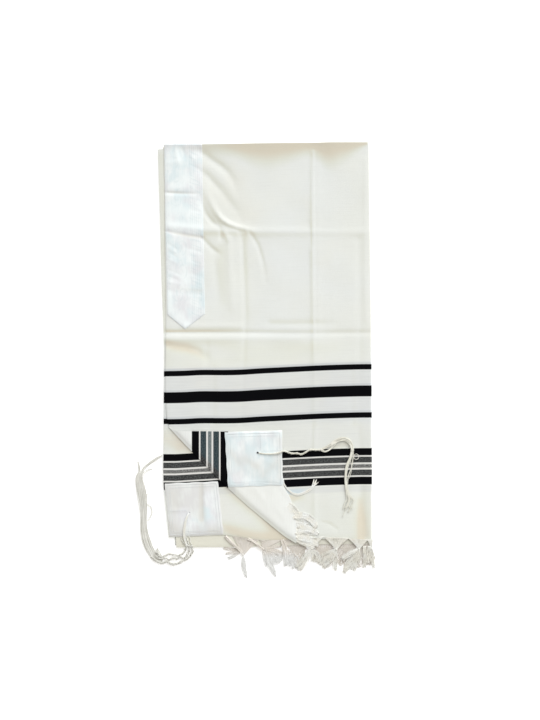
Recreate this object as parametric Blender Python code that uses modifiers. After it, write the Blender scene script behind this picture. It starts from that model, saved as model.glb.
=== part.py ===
"""A tallit prayer shawl, folded in four and laid flat, with one corner turned back.

The cloth is folded once hem to hem and once selvedge to selvedge, so it lies in four layers.
+X runs across the folded cloth, +Y along it towards the fold, +Z up. The origin is the middle of
the folded cloth on its underside. The front layer is a wall with its own node, and the three
layers under it share one solid. All lengths here are millimetres; finish() turns them into metres.
"""

import math

import bmesh
import bpy
import numpy as np
from mathutils import Matrix, Vector
from mathutils.bvhtree import BVHTree

MM = 0.001

# Driving dimensions.
WALL = 1.4                            # thickness of the cloth wall
GAP = 0.3                             # clearance between pieces that touch
TROUGH_MARGIN = 0.5                   # more clearance under a sharp trough, between rows of points
PITCH = 2.0                           # height that each of the four folded layers takes up
SATIN = 1.0                           # thickness of a sewn-on satin piece
STACK = 4 * PITCH
FRONT_UNDER = STACK - WALL            # wrong side of the front layer
SECOND_TOP = FRONT_UNDER - GAP        # top of the second layer
LOWER_TOP = SECOND_TOP - PITCH        # top of the third layer
FLAP_TOP = STACK + GAP + WALL         # wrong side of the turned corner, which faces up

# Outline of the front layer, as (x, y). The right and top edges are the outsides of its folds.
FRONT_LEFT = ((-232.4, 444.7), (-224.7, 73.0), (-221.6, -182.0))
FRONT_RIGHT = ((222.7, 450.4), (228.0, 29.0), (229.8, -433.0))
FRONT_TOP = ((-232.4, 444.7), (222.7, 450.4))
FRONT_HEM = ((61.0, -437.0), (75.0, -433.5), (229.8, -433.0))
# The line that its corner is turned back on, and the free edges of the turned corner.
FOLD_LINE = ((-221.6, -182.0), (-169.8, -236.7), (-107.7, -299.7), (-88.8, -318.6), (61.0, -437.0))
CORNER_TOP = ((-218.5, -183.5), (-207.0, -190.5), (-96.1, -192.3), (30.6, -188.9))
CORNER_HEM = ((30.6, -188.9), (33.5, -311.5), (46.8, -337.0), (55.5, -366.0), (60.0, -386.0),
              (62.5, -434.0))
# Outline of the second layer, and of the two layers under it.
SECOND_LEFT = ((-246.0, 434.0), (-230.4, 24.4), (-232.9, -188.7), (-232.9, -308.6), (-221.4, -427.5))
SECOND_HEM = ((-246.0, -427.5), (-221.4, -427.5), (-98.8, -421.8), (-14.4, -434.0), (61.0, -431.0),
              (229.8, -431.0))
LOWER_LEFT = ((-232.0, 436.0), (-212.0, 24.4), (-212.0, -308.6), (-204.5, -449.6))
LOWER_HEM = ((-238.0, -449.6), (-204.5, -449.6), (-20.0, -448.0), (61.0, -444.0), (229.8, -441.0))
RIGHT_INSET = 5.0                     # the lower layers end this far inside the right fold
NOSE_INSET = 1.4                      # the fold of the two lowest layers, from the top edge

# The neck band and the two corner patches, as corners in order, and the hole in each patch.
NECK_BAND = ((-231.0, 441.0), (-150.5, 441.0), (-146.5, 246.4), (-141.2, 68.8), (-185.1, 34.9),
             (-223.6, 67.0))
PATCH_FRONT = ((-95.1, -193.6), (29.2, -190.4), (32.0, -310.8), (-88.6, -315.4))
PATCH_BACK = ((-228.0, -309.6), (-112.5, -306.0), (-99.8, -420.4), (-220.2, -425.8))
HOLE_FRONT = (-24.0, -238.9)
HOLE_BACK = (-175.6, -372.3)
HOLE_RADIUS = 2.4

# Creases: a trough (under 0) or a ridge along a line, its height and its half width.
CREASES = (
    # x0, y0, x1, y1, height, half width
    (-246.0, 28.0, 210.0, 29.0, -1.3, 6.0),       # sharp crease across the middle
    (-246.0, 14.0, -60.0, 16.0, 0.9, 9.0),        # bulge under it
    (-150.0, 240.0, 208.0, 246.0, 1.1, 12.0),     # softer crease higher up
    (94.0, 424.0, 94.0, -410.0, -1.0, 7.0),       # lengthwise crease
    (-61.0, 20.0, -61.0, -150.0, -0.6, 9.0),      # faint lengthwise crease
    (-132.0, 372.0, -92.0, 270.0, -1.3, 9.0),     # trough that runs into the pinch
    (-134.0, 340.0, -30.0, 236.0, 1.3, 12.0),     # ridge beside it
    (-100.0, 268.0, 4.0, 80.0, 1.0, 16.0),        # folds that fan out under the pinch
    (-92.0, 262.0, -90.0, 84.0, -0.8, 14.0),
    (150.0, 424.0, 182.0, 300.0, 0.8, 20.0),
)
CROSS_CREASES = (CREASES[0][1], CREASES[2][1])    # the y and the x that rows and columns keep to
LENGTHWISE_CREASE = CREASES[3][0]
EDGE_DROP = 1.6                       # how far the free left edges sink towards the floor
EDGE_DROP_WIDTH = 16.0
FLAT_FROM, FLAT_BELOW = -60.0, -150.0  # the left edges sink less between these y, and not below

# Fringe: the threads of each hem, gathered in knots.
FRINGE_HEIGHTS = {
    # height of the roots, height of the thread ends
    "fringe_front": (7.3, 4.8),
    "fringe_turned": (9.2, 9.6),
    "fringe_second": (5.6, 1.8),
    "fringe_lower": (3.0, 1.7),
}
STRIPS = {
    # x, y along the strip that the roots start from
    "fringe_front": ((80.0, -436.4), (92.0, -435.2), (228.6, -434.8)),
    "fringe_turned": ((36.0, -313.0), (48.8, -337.0), (57.4, -366.0), (61.9, -386.0), (64.2, -430.0)),
    "fringe_second": ((-97.0, -424.8), (-14.4, -437.0), (56.0, -434.4)),
    "fringe_lower": ((96.0, -445.9), (224.0, -443.6)),
}
TASSELS = {
    # root x, root y, knot x, knot y, knot z, middle of the ends x, y, half their spread
    "fringe_front": (
        (88.0, -435.3, 96.0, -451.0, 6.9, 76.0, -500.0, 15.0),
        (144.0, -435.1, 150.0, -452.0, 6.9, 139.0, -503.0, 16.0),
        (196.0, -434.9, 200.0, -452.0, 6.9, 178.0, -504.0, 15.0),
        (219.0, -434.8, 223.0, -454.0, 6.9, 233.0, -496.0, 6.0),
    ),
    "fringe_turned": (
        (40.0, -320.0, 60.0, -330.0, 10.4, 104.0, -306.0, 7.0),
        (58.6, -370.0, 76.0, -380.0, 10.4, 99.0, -400.0, 8.0),
        (63.4, -410.0, 80.0, -414.0, 10.4, 112.0, -418.0, 7.0),
    ),
    "fringe_second": (
        (-86.0, -425.7, -74.0, -454.0, 6.4, -97.0, -474.0, 6.0),
        (-56.0, -430.0, -56.0, -462.0, 5.8, -50.0, -515.0, 6.0),
        (-12.0, -435.9, -10.0, -456.0, 6.4, 10.0, -508.0, 11.0),
        (38.0, -434.0, 38.0, -456.0, 6.4, 44.0, -500.0, 9.0),
    ),
    "fringe_lower": (
        (112.0, -444.5, 118.0, -461.0, 3.0, 124.0, -503.0, 12.0),
        (166.0, -443.9, 170.0, -461.0, 3.0, 162.0, -506.0, 12.0),
        (210.0, -443.4, 208.0, -461.0, 3.0, 206.0, -500.0, 9.0),
    ),
}
ROOTS, ROOT_SPREAD = 4, 10.0          # threads that run into one knot, and half their width
STRANDS = 6                           # thread ends under one knot
STRIP_HALF = 0.9
KNOT_RADIUS = 2.2
STRAND_RADIUS, STRAND_TIP = 1.3, 0.7

# Corner tassels: (x, y, z, radius) along the wound cord, then (x, y) along its loose threads.
CORD_FRONT = (
    (-24.0, -238.9, 10.2, 1.4), (-24.0, -238.9, 12.2, 1.5), (-14.0, -238.9, 14.1, 2.6),
    (31.5, -238.9, 14.1, 2.6), (44.0, -236.0, 12.6, 2.6), (52.0, -240.8, 11.3, 2.6),
    (68.8, -241.8, 11.3, 2.7), (89.9, -230.4, 11.3, 2.7), (105.5, -233.1, 11.3, 2.7),
    (128.1, -230.4, 11.3, 2.7), (145.0, -219.1, 11.3, 2.7), (161.8, -209.3, 11.3, 2.6),
)
THREADS_FRONT = ((161.8, -209.3), (175.8, -212.2), (185.6, -226.2), (184.3, -246.0),
                 (174.3, -274.0), (171.6, -296.6), (175.8, -319.0), (179.4, -348.0))
CORD_BACK = (
    (-175.6, -372.3, 6.8, 1.4), (-175.6, -372.3, 8.8, 1.5), (-179.0, -383.0, 10.8, 2.5),
    (-186.0, -419.0, 10.8, 2.6), (-188.7, -434.0, 10.0, 2.6), (-187.6, -452.0, 8.2, 2.7),
    (-187.6, -461.8, 4.6, 2.7), (-196.5, -472.9, 3.4, 2.7), (-218.7, -482.9, 3.4, 2.7),
    (-240.9, -480.6, 3.4, 2.7), (-258.6, -468.4, 3.5, 2.6),
)
THREADS_BACK = ((-258.6, -468.4), (-267.0, -444.0), (-274.0, -410.7), (-277.0, -366.3),
                (-281.0, -321.9), (-281.0, -295.3), (-266.0, -258.0))
THREADS = 8
BALL_RADIUS = 3.0                     # the last knot, where the threads leave the cord
THREAD_RADIUS, THREAD_TIP = 0.95, 0.7
TZITZIT = {
    # name: (cord, threads, height that the threads lie at, half their width, that of their ends)
    "tzitzit_front": (CORD_FRONT, THREADS_FRONT, 9.9, 5.5, 13.0),
    "tzitzit_back": (CORD_BACK, THREADS_BACK, 2.4, 7.5, 22.0),
}

COLOURS = {"wool": (0.80, 0.81, 0.77), "satin": (0.80, 0.87, 0.88), "thread": (0.78, 0.76, 0.70)}


def mix(a, b, share):
    return (1.0 - share) * np.asarray(a) + share * np.asarray(b)


def along(table, share):
    """The point at a share of the length of a polyline."""
    rows = np.array(table, float)
    reach = np.concatenate([[0.0], np.cumsum(np.linalg.norm(np.diff(rows, axis=0), axis=1))])
    return np.array([np.interp(share * reach[-1], reach, column) for column in rows.T])


def with_kinks(table, count):
    """Shares of the length of a polyline: each of its points, and the middles of its longest runs."""
    reach = np.cumsum(np.linalg.norm(np.diff(np.array(table, float), axis=0), axis=1))
    shares = [0.0] + [float(v) for v in reach / reach[-1]]
    while len(shares) < count:
        widest = max(range(len(shares) - 1), key=lambda k: shares[k + 1] - shares[k])
        shares.insert(widest + 1, (shares[widest] + shares[widest + 1]) / 2)
    return shares


def y_at(table, x):
    rows = np.array(table, float)
    return float(np.interp(x, rows[:, 0], rows[:, 1]))


def x_at(table, y):
    rows = np.array(table, float)[::-1]
    return float(np.interp(y, rows[:, 1], rows[:, 0]))


def stations(start, end, step, creases=()):
    """Values from start down to end, at most step apart, with three values across each crease."""
    lines = [c + d for c in creases for d in (6.0, 0.0, -6.0) if end + 4.0 < c + d < start - 4.0]
    count = max(1, math.ceil((start - end) / step))
    plain = [v for v in np.linspace(start, end, count + 1) if all(abs(v - line) > 5.0 for line in lines)]
    return sorted(set([start, end] + plain[1:-1] + lines), reverse=True)


def relief(x, y):
    """Height that every layer gains or loses at a place.

    A crease is height / (1 + (d / half width)^2)^2 at the distance d from its line, and the free
    left edges sink by EDGE_DROP * exp(-(distance inside / width)^2)."""
    height = 0.0
    for x0, y0, x1, y1, tall, half in CREASES:
        dx, dy = x1 - x0, y1 - y0
        share = min(1.0, max(0.0, ((x - x0) * dx + (y - y0) * dy) / (dx * dx + dy * dy)))
        gone = math.hypot(x - x0 - share * dx, y - y0 - share * dy) / half
        height += tall / (1.0 + gone * gone) ** 2
    fade = min(1.0, max(0.0, (y - FLAT_BELOW) / (FLAT_FROM - FLAT_BELOW)))
    inside = max(0.0, x - x_at(SECOND_LEFT, y))
    return height - EDGE_DROP * fade * math.exp(-((inside / EDGE_DROP_WIDTH) ** 2))


def make_material(name):
    made = bpy.data.materials.new(name)
    made.use_nodes = True
    shader = made.node_tree.nodes["Principled BSDF"]
    shader.inputs["Base Color"].default_value = (*COLOURS[name], 1.0)
    shader.inputs["Roughness"].default_value = 0.45 if name == "satin" else 0.9
    shader.inputs["Metallic"].default_value = 0.0
    return made


def mesh_of(name, points, faces):
    """A mesh from points in millimetres."""
    mesh = bpy.data.meshes.new(name)
    mesh.from_pydata([tuple(p) for p in points], [], [tuple(f) for f in faces])
    mesh.validate()
    return mesh


def finish(name, mesh, material, collection):
    """Adds a mesh in millimetres as an object in metres."""
    mesh.name = name
    mesh.transform(Matrix.Scale(MM, 4))
    mesh.materials.clear()
    mesh.materials.append(material)
    made = bpy.data.objects.new(name, mesh)
    collection.objects.link(made)
    return made


def evaluated(obj):
    """The object's mesh after its modifiers, as a new mesh; the object is removed."""
    graph = bpy.context.evaluated_depsgraph_get()
    mesh = bpy.data.meshes.new_from_object(obj.evaluated_get(graph))
    bpy.data.objects.remove(obj)
    return mesh


def with_wall(mesh, thickness):
    """A surface given a wall on the side that its normals point to."""
    holder = bpy.data.objects.new("holder", mesh)
    bpy.context.scene.collection.objects.link(holder)
    wall = holder.modifiers.new("wall", "SOLIDIFY")
    wall.thickness = thickness
    wall.offset = 1.0
    return evaluated(holder)


def fused(meshes):
    """The Boolean union of closed meshes that may overlap."""
    scene = bpy.context.scene.collection
    others = bpy.data.collections.new("others")
    scene.children.link(others)
    holders = [bpy.data.objects.new("piece", mesh) for mesh in meshes]
    scene.objects.link(holders[0])
    for holder in holders[1:]:
        others.objects.link(holder)
    union = holders[0].modifiers.new("union", "BOOLEAN")
    union.operation = "UNION"
    union.operand_type = "COLLECTION"
    union.collection = others
    union.solver = "EXACT"
    union.use_self = True
    mesh = evaluated(holders[0])
    for holder in holders[1:]:
        bpy.data.objects.remove(holder)
    bpy.data.collections.remove(others)
    return mesh


class Surface:
    """The faces of a finished mesh, to rest a piece on or to fit one under."""

    def __init__(self, mesh):
        mesh.calc_loop_triangles()
        points = [v.co.copy() for v in mesh.vertices]
        self.tree = BVHTree.FromPolygons(points, [t.vertices for t in mesh.loop_triangles])

    def height(self, x, y, down=True, reach=0.0):
        """The highest top (or with down False the lowest underside) at a place and round it."""
        found = []
        round_it = [(0.0, 0.0)]
        for k in range(8 if reach else 0):
            turn = k * math.pi / 4
            round_it += [(reach * part * math.cos(turn), reach * part * math.sin(turn)) for part in (0.45, 1.0)]
        for dx, dy in round_it:
            start = Vector((x + dx, y + dy, 100.0 if down else -100.0))
            hit = self.tree.ray_cast(start, Vector((0.0, 0.0, -1.0 if down else 1.0)))[0]
            if hit is not None:
                found.append(hit.z)
        if not found:
            return None
        return max(found) if down else min(found)


def fold_normal(share):
    """The direction, square to the fold line and away from the cloth, at a share of its length."""
    step = along(FOLD_LINE, min(1.0, share + 0.02)) - along(FOLD_LINE, max(0.0, share - 0.02))
    return np.array([step[1], -step[0]]) / np.hypot(*step)


def front_layer():
    """The front layer's wrong side as an open surface, then its wall.

    Columns run from the top fold down to the fold line or the hem, with shared rows down to
    SHARED_Y. Over the fold line they go round a half circle and on across the turned corner.
    Skirts of arcs make the rolled top and right folds."""
    shared_y, fold_columns, hem_columns, lower_rows, flap_rows = -165.0, 14, 7, 7, 7
    right_outer, top_outer = STACK / 2, PITCH
    right_inner, top_inner = right_outer - WALL, top_outer - WALL

    bottoms = [along(FOLD_LINE, k / fold_columns) for k in range(fold_columns)]
    bottoms += [along(FRONT_HEM, k / hem_columns) for k in range(hem_columns + 1)]
    bottoms[fold_columns + 1][0] = LENGTHWISE_CREASE - 6.0
    bottoms[fold_columns + 2][0] = LENGTHWISE_CREASE + 6.0
    rows = stations(y_at(FRONT_TOP, 0.0) - top_outer, shared_y, 27.0,
                    CROSS_CREASES)
    points, index = [], {}

    def put(key, x, y, z):
        index[key] = len(points)
        points.append((x, y, z))

    for c, (bx, by) in enumerate(bottoms):
        inner_right = x_at(FRONT_RIGHT, by) - right_outer
        share = (min(bx, inner_right) - x_at(FRONT_LEFT, by)) / (inner_right - x_at(FRONT_LEFT, by))
        end = np.array([min(bx, inner_right), by])
        if c <= fold_columns:
            end = end - fold_normal(c / fold_columns) * (FLAP_TOP - FRONT_UNDER) / 2
        levels = [y_at(FRONT_TOP, end[0]) - top_outer] + rows[1:]
        line = [(mix(x_at(FRONT_LEFT, y), x_at(FRONT_RIGHT, y) - right_outer, share), y) for y in levels]
        line += [mix(line[-1], end, (k + 1) / lower_rows) for k in range(lower_rows)]
        for r, (x, y) in enumerate(line):
            put((c, r), x, y, FRONT_UNDER + relief(x, y))
    row_count, column_count = len(rows) + lower_rows, len(bottoms)
    faces = [(index[c, r], index[c, r + 1], index[c + 1, r + 1], index[c + 1, r])
             for c in range(column_count - 1) for r in range(row_count - 1)]

    half = fold_columns // 2
    corner = [(CORNER_TOP, k / half) for k in range(half)]
    corner += [(CORNER_HEM, share) for share in with_kinks(CORNER_HEM, half + 1)]
    turn = 6
    radius = (FLAP_TOP - FRONT_UNDER) / 2
    for c in range(fold_columns + 1):
        share = c / fold_columns
        edge, out = along(FOLD_LINE, share), fold_normal(share)
        index["flap", c, 0] = index[c, row_count - 1]
        for k in range(1, turn + 1):
            angle = math.pi * (k / turn - 0.5)
            x, y = edge - out * radius + out * radius * math.cos(angle)
            put(("flap", c, k), x, y, FRONT_UNDER + radius + radius * math.sin(angle) + relief(*edge))
        end = along(*corner[c])
        begin = edge - out * radius
        for k in range(1, flap_rows + 1):
            x, y = mix(begin, end, k / flap_rows)
            put(("flap", c, turn + k), x, y, FLAP_TOP + relief(x, y))
    faces += [(index["flap", c, k], index["flap", c, k + 1], index["flap", c + 1, k + 1],
               index["flap", c + 1, k])
              for c in range(fold_columns) for k in range(turn + flap_rows)]

    # The path round the top and right edges, with the way out and the size of each fold.
    last = column_count - 1
    path = [((c, 0), np.array([0.0, 1.0]), top_inner, 120.0) for c in range(last)]
    path += [((last, 0), np.array([0.7, 0.7]), right_inner * 0.6, 105.0)]
    path += [((last, r), np.array([1.0, 0.0]), right_inner, 150.0) for r in range(1, row_count)]
    rings = 6
    for key, out, size, reach in path:
        x, y, z = points[index[key]]
        index[key, 0] = index[key]
        for k in range(1, rings + 1):
            angle = math.radians(reach * k / rings)
            px, py = np.array([x, y]) + out * size * math.sin(angle)
            put((key, k), px, py, z - size * (1.0 - math.cos(angle)))
    for (a, *_), (b, *_) in zip(path, path[1:]):
        faces += [(index[a, k], index[b, k], index[b, k + 1], index[a, k + 1]) for k in range(rings)]
    return with_wall(mesh_of("front", points, faces), WALL)


def slab(left, hem, right_inset, top_inset, profile, top, bottom=None):
    """A closed slab of cloth whose edges are rounded by a profile.

    left and hem are its outline's tables. profile holds (outset, drop) rows, from the edge of the
    upper face down. top gives the height at (x, y). The lower face is flat, or follows bottom."""
    across = stations(222.0, -232.0, 30.0, (LENGTHWISE_CREASE,))[::-1]
    across = [(v - across[0]) / (across[-1] - across[0]) for v in across]
    down = stations(446.0, -430.0, 30.0, CROSS_CREASES)
    points, grid = [], {}
    for c, a in enumerate(across):
        rough = mix(left[-1][0], 225.0, a)
        ends = {0: y_at(FRONT_TOP, rough) - top_inset, len(down) - 1: y_at(hem, rough)}
        for r, level in enumerate(down):
            y = ends.get(r, level)
            edge = x_at(left, y)
            x = mix(edge, x_at(FRONT_RIGHT, y) - right_inset, a)
            grid[c, r] = len(points)
            points.append((x, y, top(x, y)))
    columns, count = len(across), len(down)
    faces = [(grid[c, r], grid[c, r + 1], grid[c + 1, r + 1], grid[c + 1, r])
             for c in range(columns - 1) for r in range(count - 1)]
    ring = [(c, 0) for c in range(columns)] + [(columns - 1, r) for r in range(1, count)]
    ring += [(c, count - 1) for c in range(columns - 2, -1, -1)] + [(0, r) for r in range(count - 2, 0, -1)]
    outs = []
    for c, r in ring:
        out = np.array([(c == columns - 1) - (c == 0), (r == 0) - (r == count - 1)], float)
        outs.append(out / np.hypot(*out))
    before = [grid[key] for key in ring]
    for outset, drop in profile:
        now = []
        for key, out in zip(ring, outs):
            x, y, z = points[grid[key]]
            now.append(len(points))
            px, py = np.array([x, y]) + out * outset
            points.append((px, py, z - drop if drop is not None else 0.0))
        size = len(ring)
        faces += [(before[k], before[(k + 1) % size], now[(k + 1) % size], now[k]) for k in range(size)]
        before = now
    if profile[-1][1] is None:
        faces.append(tuple(before))
    else:
        # The lower face repeats the upper one, at the height of the last ring.
        under = {key: n for key, n in zip(ring, before)}
        for key in grid:
            if key not in under:
                x, y, z = points[grid[key]]
                under[key] = len(points)
                points.append((x, y, z - profile[-1][1]))
        faces += [(under[c, r], under[c + 1, r], under[c + 1, r + 1], under[c, r + 1])
                  for c in range(columns - 1) for r in range(count - 1)]
    mesh = mesh_of("slab", points, faces)
    face_out(mesh)
    return mesh


def face_out(mesh):
    shape = bmesh.new()
    shape.from_mesh(mesh)
    bmesh.ops.recalc_face_normals(shape, faces=shape.faces)
    shape.to_mesh(mesh)
    shape.free()


def folded_layers(front):
    """The three layers under the front one: the second layer on the two lowest, as one solid."""
    def under_front(x, y):
        here = SECOND_TOP + relief(x, y)
        lowest = front.height(x, y, down=False, reach=14.0)
        if lowest is not None:
            here = min(here, lowest - GAP)
        return here - TROUGH_MARGIN * (relief(x, y) < -0.3)

    second = slab(SECOND_LEFT, SECOND_HEM, RIGHT_INSET - 0.6, PITCH + 1.2,
                  ((0.6, 0.5), (0.6, 1.4), (-0.6, PITCH + 0.2), (-12.0, PITCH + 1.0)), under_front)
    lower = slab(LOWER_LEFT, LOWER_HEM, RIGHT_INSET + 0.4, NOSE_INSET,
                 ((0.6, 0.6), (0.6, 1.5), (-1.3, 2.1), (0.5, 2.7), (0.5, 3.6), (-0.3, None)),
                 lambda x, y: LOWER_TOP + max(0.0, relief(x, y)))
    return fused([lower, second])


def sewn_piece(corners, hole, carrier, cells):
    """A satin piece on a carrier: a grid inside its corners, its wall, and its hole cut out."""
    outline = [Vector((x, y, 0.0)) for x, y in corners]
    shape = bmesh.new()
    shape.faces.new([shape.verts.new(p) for p in outline])
    lows = [min(p[k] for p in outline) for k in range(2)]
    highs = [max(p[k] for p in outline) for k in range(2)]
    for axis, low, high in ((0, lows[0], highs[0]), (1, lows[1], highs[1])):
        for value in np.linspace(low, high, math.ceil((high - low) / cells) + 1)[1:-1]:
            normal = Vector((1.0, 0.0, 0.0) if axis == 0 else (0.0, 1.0, 0.0))
            bmesh.ops.bisect_plane(shape, geom=shape.verts[:] + shape.edges[:] + shape.faces[:],
                                   plane_co=normal * value, plane_no=normal)
    for vert in shape.verts:
        vert.co.z = carrier.height(vert.co.x, vert.co.y, reach=cells * 0.7) + GAP
    bmesh.ops.recalc_face_normals(shape, faces=shape.faces)
    if sum(face.normal.z for face in shape.faces) < 0.0:
        bmesh.ops.reverse_faces(shape, faces=shape.faces)
    mesh = bpy.data.meshes.new("sewn")
    shape.to_mesh(mesh)
    shape.free()
    mesh = with_wall(mesh, SATIN)
    return drilled(mesh, hole) if hole else mesh


def drilled(mesh, hole):
    """The mesh with an upright round hole through it."""
    shape = bmesh.new()
    bmesh.ops.create_cone(shape, cap_ends=True, segments=10, radius1=HOLE_RADIUS, radius2=HOLE_RADIUS,
                          depth=20.0, matrix=Matrix.Translation((*hole, STACK)))
    tool_mesh = bpy.data.meshes.new("drill")
    shape.to_mesh(tool_mesh)
    shape.free()
    scene = bpy.context.scene.collection
    holder, tool = (bpy.data.objects.new("holder", mesh), bpy.data.objects.new("drill", tool_mesh))
    scene.objects.link(holder)
    scene.objects.link(tool)
    cut = holder.modifiers.new("hole", "BOOLEAN")
    cut.operation = "DIFFERENCE"
    cut.solver = "EXACT"
    cut.object = tool
    result = evaluated(holder)
    bpy.data.objects.remove(tool)
    return result


def strand_mesh(paths):
    """Closed four-sided tubes, one for each path of (x, y, z, radius) rows."""
    curve = bpy.data.curves.new("strands", "CURVE")
    curve.dimensions = "3D"
    curve.bevel_depth = 1.0
    curve.bevel_resolution = 0
    curve.use_fill_caps = True
    for path in paths:
        spline = curve.splines.new("POLY")
        spline.points.add(len(path) - 1)
        for point, (x, y, z, radius) in zip(spline.points, path):
            point.co = (x, y, z, 1.0)
            point.radius = radius
    holder = bpy.data.objects.new("strands", curve)
    bpy.context.scene.collection.objects.link(holder)
    mesh = evaluated(holder)
    shape = bmesh.new()
    shape.from_mesh(mesh)
    bmesh.ops.remove_doubles(shape, verts=shape.verts, dist=1e-4)
    bmesh.ops.recalc_face_normals(shape, faces=shape.faces)
    shape.to_mesh(mesh)
    shape.free()
    return mesh


def ball(x, y, z, radius):
    shape = bmesh.new()
    bmesh.ops.create_uvsphere(shape, u_segments=6, v_segments=4, radius=radius,
                              matrix=Matrix.Translation((x, y, z)))
    mesh = bpy.data.meshes.new("knot")
    shape.to_mesh(mesh)
    shape.free()
    return mesh


def fringe(name):
    """A narrow strip of thread roots with its knots, each with thread ends under it."""
    root_z, end_z = FRINGE_HEIGHTS[name]
    strip = [(x, y, root_z, STRIP_HALF) for x, y in STRIPS[name]]
    pieces = [strand_mesh([strip])]
    for root_x, root_y, knot_x, knot_y, knot_z, end_x, end_y, spread in TASSELS[name]:
        knot, end = np.array([knot_x, knot_y]), np.array([end_x, end_y])
        way = (end - knot) / np.hypot(*(end - knot))
        side = np.array([way[1], -way[0]])
        for k in range(ROOTS):
            start = on_strip(name, root_x, root_y, (k / (ROOTS - 1) * 2.0 - 1.0) * ROOT_SPREAD)
            middle = mix(start, knot, 0.55)
            pieces.append(strand_mesh([[(*start, root_z, 0.9), (*middle, max(root_z, knot_z), 0.9),
                                        (*knot, knot_z, 1.0)]]))
        pieces.append(ball(knot_x, knot_y, knot_z, KNOT_RADIUS))
        for k in range(STRANDS):
            share = k / (STRANDS - 1) * 2.0 - 1.0
            length = 1.0 - 0.10 * abs(share) - 0.06 * (k % 2)
            tip = mix(knot, end, length) + side * share * spread
            bend = mix(knot, tip, 0.5) + side * share * spread * 0.28
            pieces.append(strand_mesh([[(*knot, knot_z, STRAND_RADIUS),
                                        (*bend, mix(knot_z, end_z, 0.62), STRAND_RADIUS),
                                        (*tip, end_z, STRAND_TIP)]]))
    return fused(pieces)


def on_strip(name, x, y, moved):
    """The point of a strip beside (x, y), moved along the hem. The turned hem runs along Y."""
    if name == "fringe_turned":
        return np.array([x_at(STRIPS[name], y + moved), y + moved])
    return np.array([x + moved, y_at(STRIPS[name], x + moved)])


def corner_tassel(cord, threads, threads_z, apart, ends_apart):
    """A wound cord with its loose threads fused into its end."""
    pieces = [strand_mesh([cord]), ball(*cord[-1][:3], BALL_RADIUS)]
    route = np.array(threads)
    for k in range(THREADS):
        share = k / (THREADS - 1) * 2.0 - 1.0
        path = []
        for n, point in enumerate(route):
            step = route[min(n + 1, len(route) - 1)] - route[max(n - 1, 0)]
            side = np.array([step[1], -step[0]]) / np.hypot(*step)
            part = n / (len(route) - 1)
            width = apart * min(1.0, 2.5 * part) + (ends_apart - apart) * part ** 6
            if n == len(route) - 1:
                point = point + (route[-2] - point) * 0.35 * (k % 3) / 2.0
            z = mix(cord[-1][2], threads_z, min(1.0, 2.0 * part))
            radius = mix(THREAD_RADIUS, THREAD_TIP, part)
            path.append((*(point + side * share * width), float(z), float(radius)))
        pieces.append(strand_mesh([path]))
    return fused(pieces)


def build():
    for old in list(bpy.data.objects):
        bpy.data.objects.remove(old)
    shawl = bpy.data.collections.new("tallit_prayer_shawl")
    bpy.context.scene.collection.children.link(shawl)
    wool, satin, thread = (make_material(name) for name in ("wool", "satin", "thread"))

    front_mesh = front_layer()
    front = Surface(front_mesh)
    layers_mesh = folded_layers(front)
    layers = Surface(layers_mesh)
    patch_front = sewn_piece(PATCH_FRONT, HOLE_FRONT, front, 26.0)
    patch_back = sewn_piece(PATCH_BACK, HOLE_BACK, layers, 26.0)
    band = sewn_piece(NECK_BAND, None, front, 13.5)

    finish("cloth_front", front_mesh, wool, shawl)
    finish("cloth_folded_layers", layers_mesh, wool, shawl)
    finish("atarah", band, satin, shawl)
    finish("corner_patch_front", patch_front, satin, shawl)
    finish("corner_patch_back", patch_back, satin, shawl)
    for name in STRIPS:
        finish(name, fringe(name), thread, shawl)
    for name, rows in TZITZIT.items():
        finish(name, corner_tassel(*rows), thread, shawl)


build()
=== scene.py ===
"""Looks of the folded tallit: fine cloth, satin, stitching, fringe and corner tassels.

The cloth lies in four layers. The outer sheet is the front layer with its turned corner, the fold
at the right and the back layer; the inner sheet is the two layers between them. Tables are in
millimetres, in the frame of the part: +X across, +Y towards the top fold, +Z up.
"""

import math

import bpy
import numpy as np
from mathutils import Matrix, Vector


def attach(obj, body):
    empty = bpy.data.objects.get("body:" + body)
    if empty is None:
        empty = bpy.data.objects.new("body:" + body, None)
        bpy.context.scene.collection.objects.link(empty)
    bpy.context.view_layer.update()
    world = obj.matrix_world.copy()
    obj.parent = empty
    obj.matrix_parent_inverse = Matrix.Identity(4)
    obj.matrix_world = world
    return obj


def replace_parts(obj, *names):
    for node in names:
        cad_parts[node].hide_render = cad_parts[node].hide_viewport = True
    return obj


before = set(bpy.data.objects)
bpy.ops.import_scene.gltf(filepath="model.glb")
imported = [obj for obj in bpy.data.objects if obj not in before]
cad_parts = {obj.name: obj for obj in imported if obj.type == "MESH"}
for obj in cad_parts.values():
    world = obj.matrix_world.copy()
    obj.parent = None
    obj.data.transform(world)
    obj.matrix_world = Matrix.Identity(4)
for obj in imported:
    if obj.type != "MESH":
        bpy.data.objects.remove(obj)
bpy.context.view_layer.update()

MM = 0.001
chance = np.random.default_rng(18)

# ---- sizes, in millimetres
CLOTH, SATIN = 0.9, 0.7  # thickness of the cloth and of a sewn-on satin piece
FRONT_Z, FLAP_Z = 7.5, 9.2  # middles of the front layer and of its turned corner
SECOND_Z, THIRD_Z, BACK_Z = 5.8, 3.5, 0.7
TOP_ROLL = (FRONT_Z - SECOND_Z) / 2  # radius of the top fold
RIGHT_ROLL = (FRONT_Z - BACK_Z) / 2  # radius of the right fold
INNER_ROLL = (SECOND_Z - THIRD_Z) / 2
FLAP_ROLL = (FLAP_Z - FRONT_Z) / 2

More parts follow.
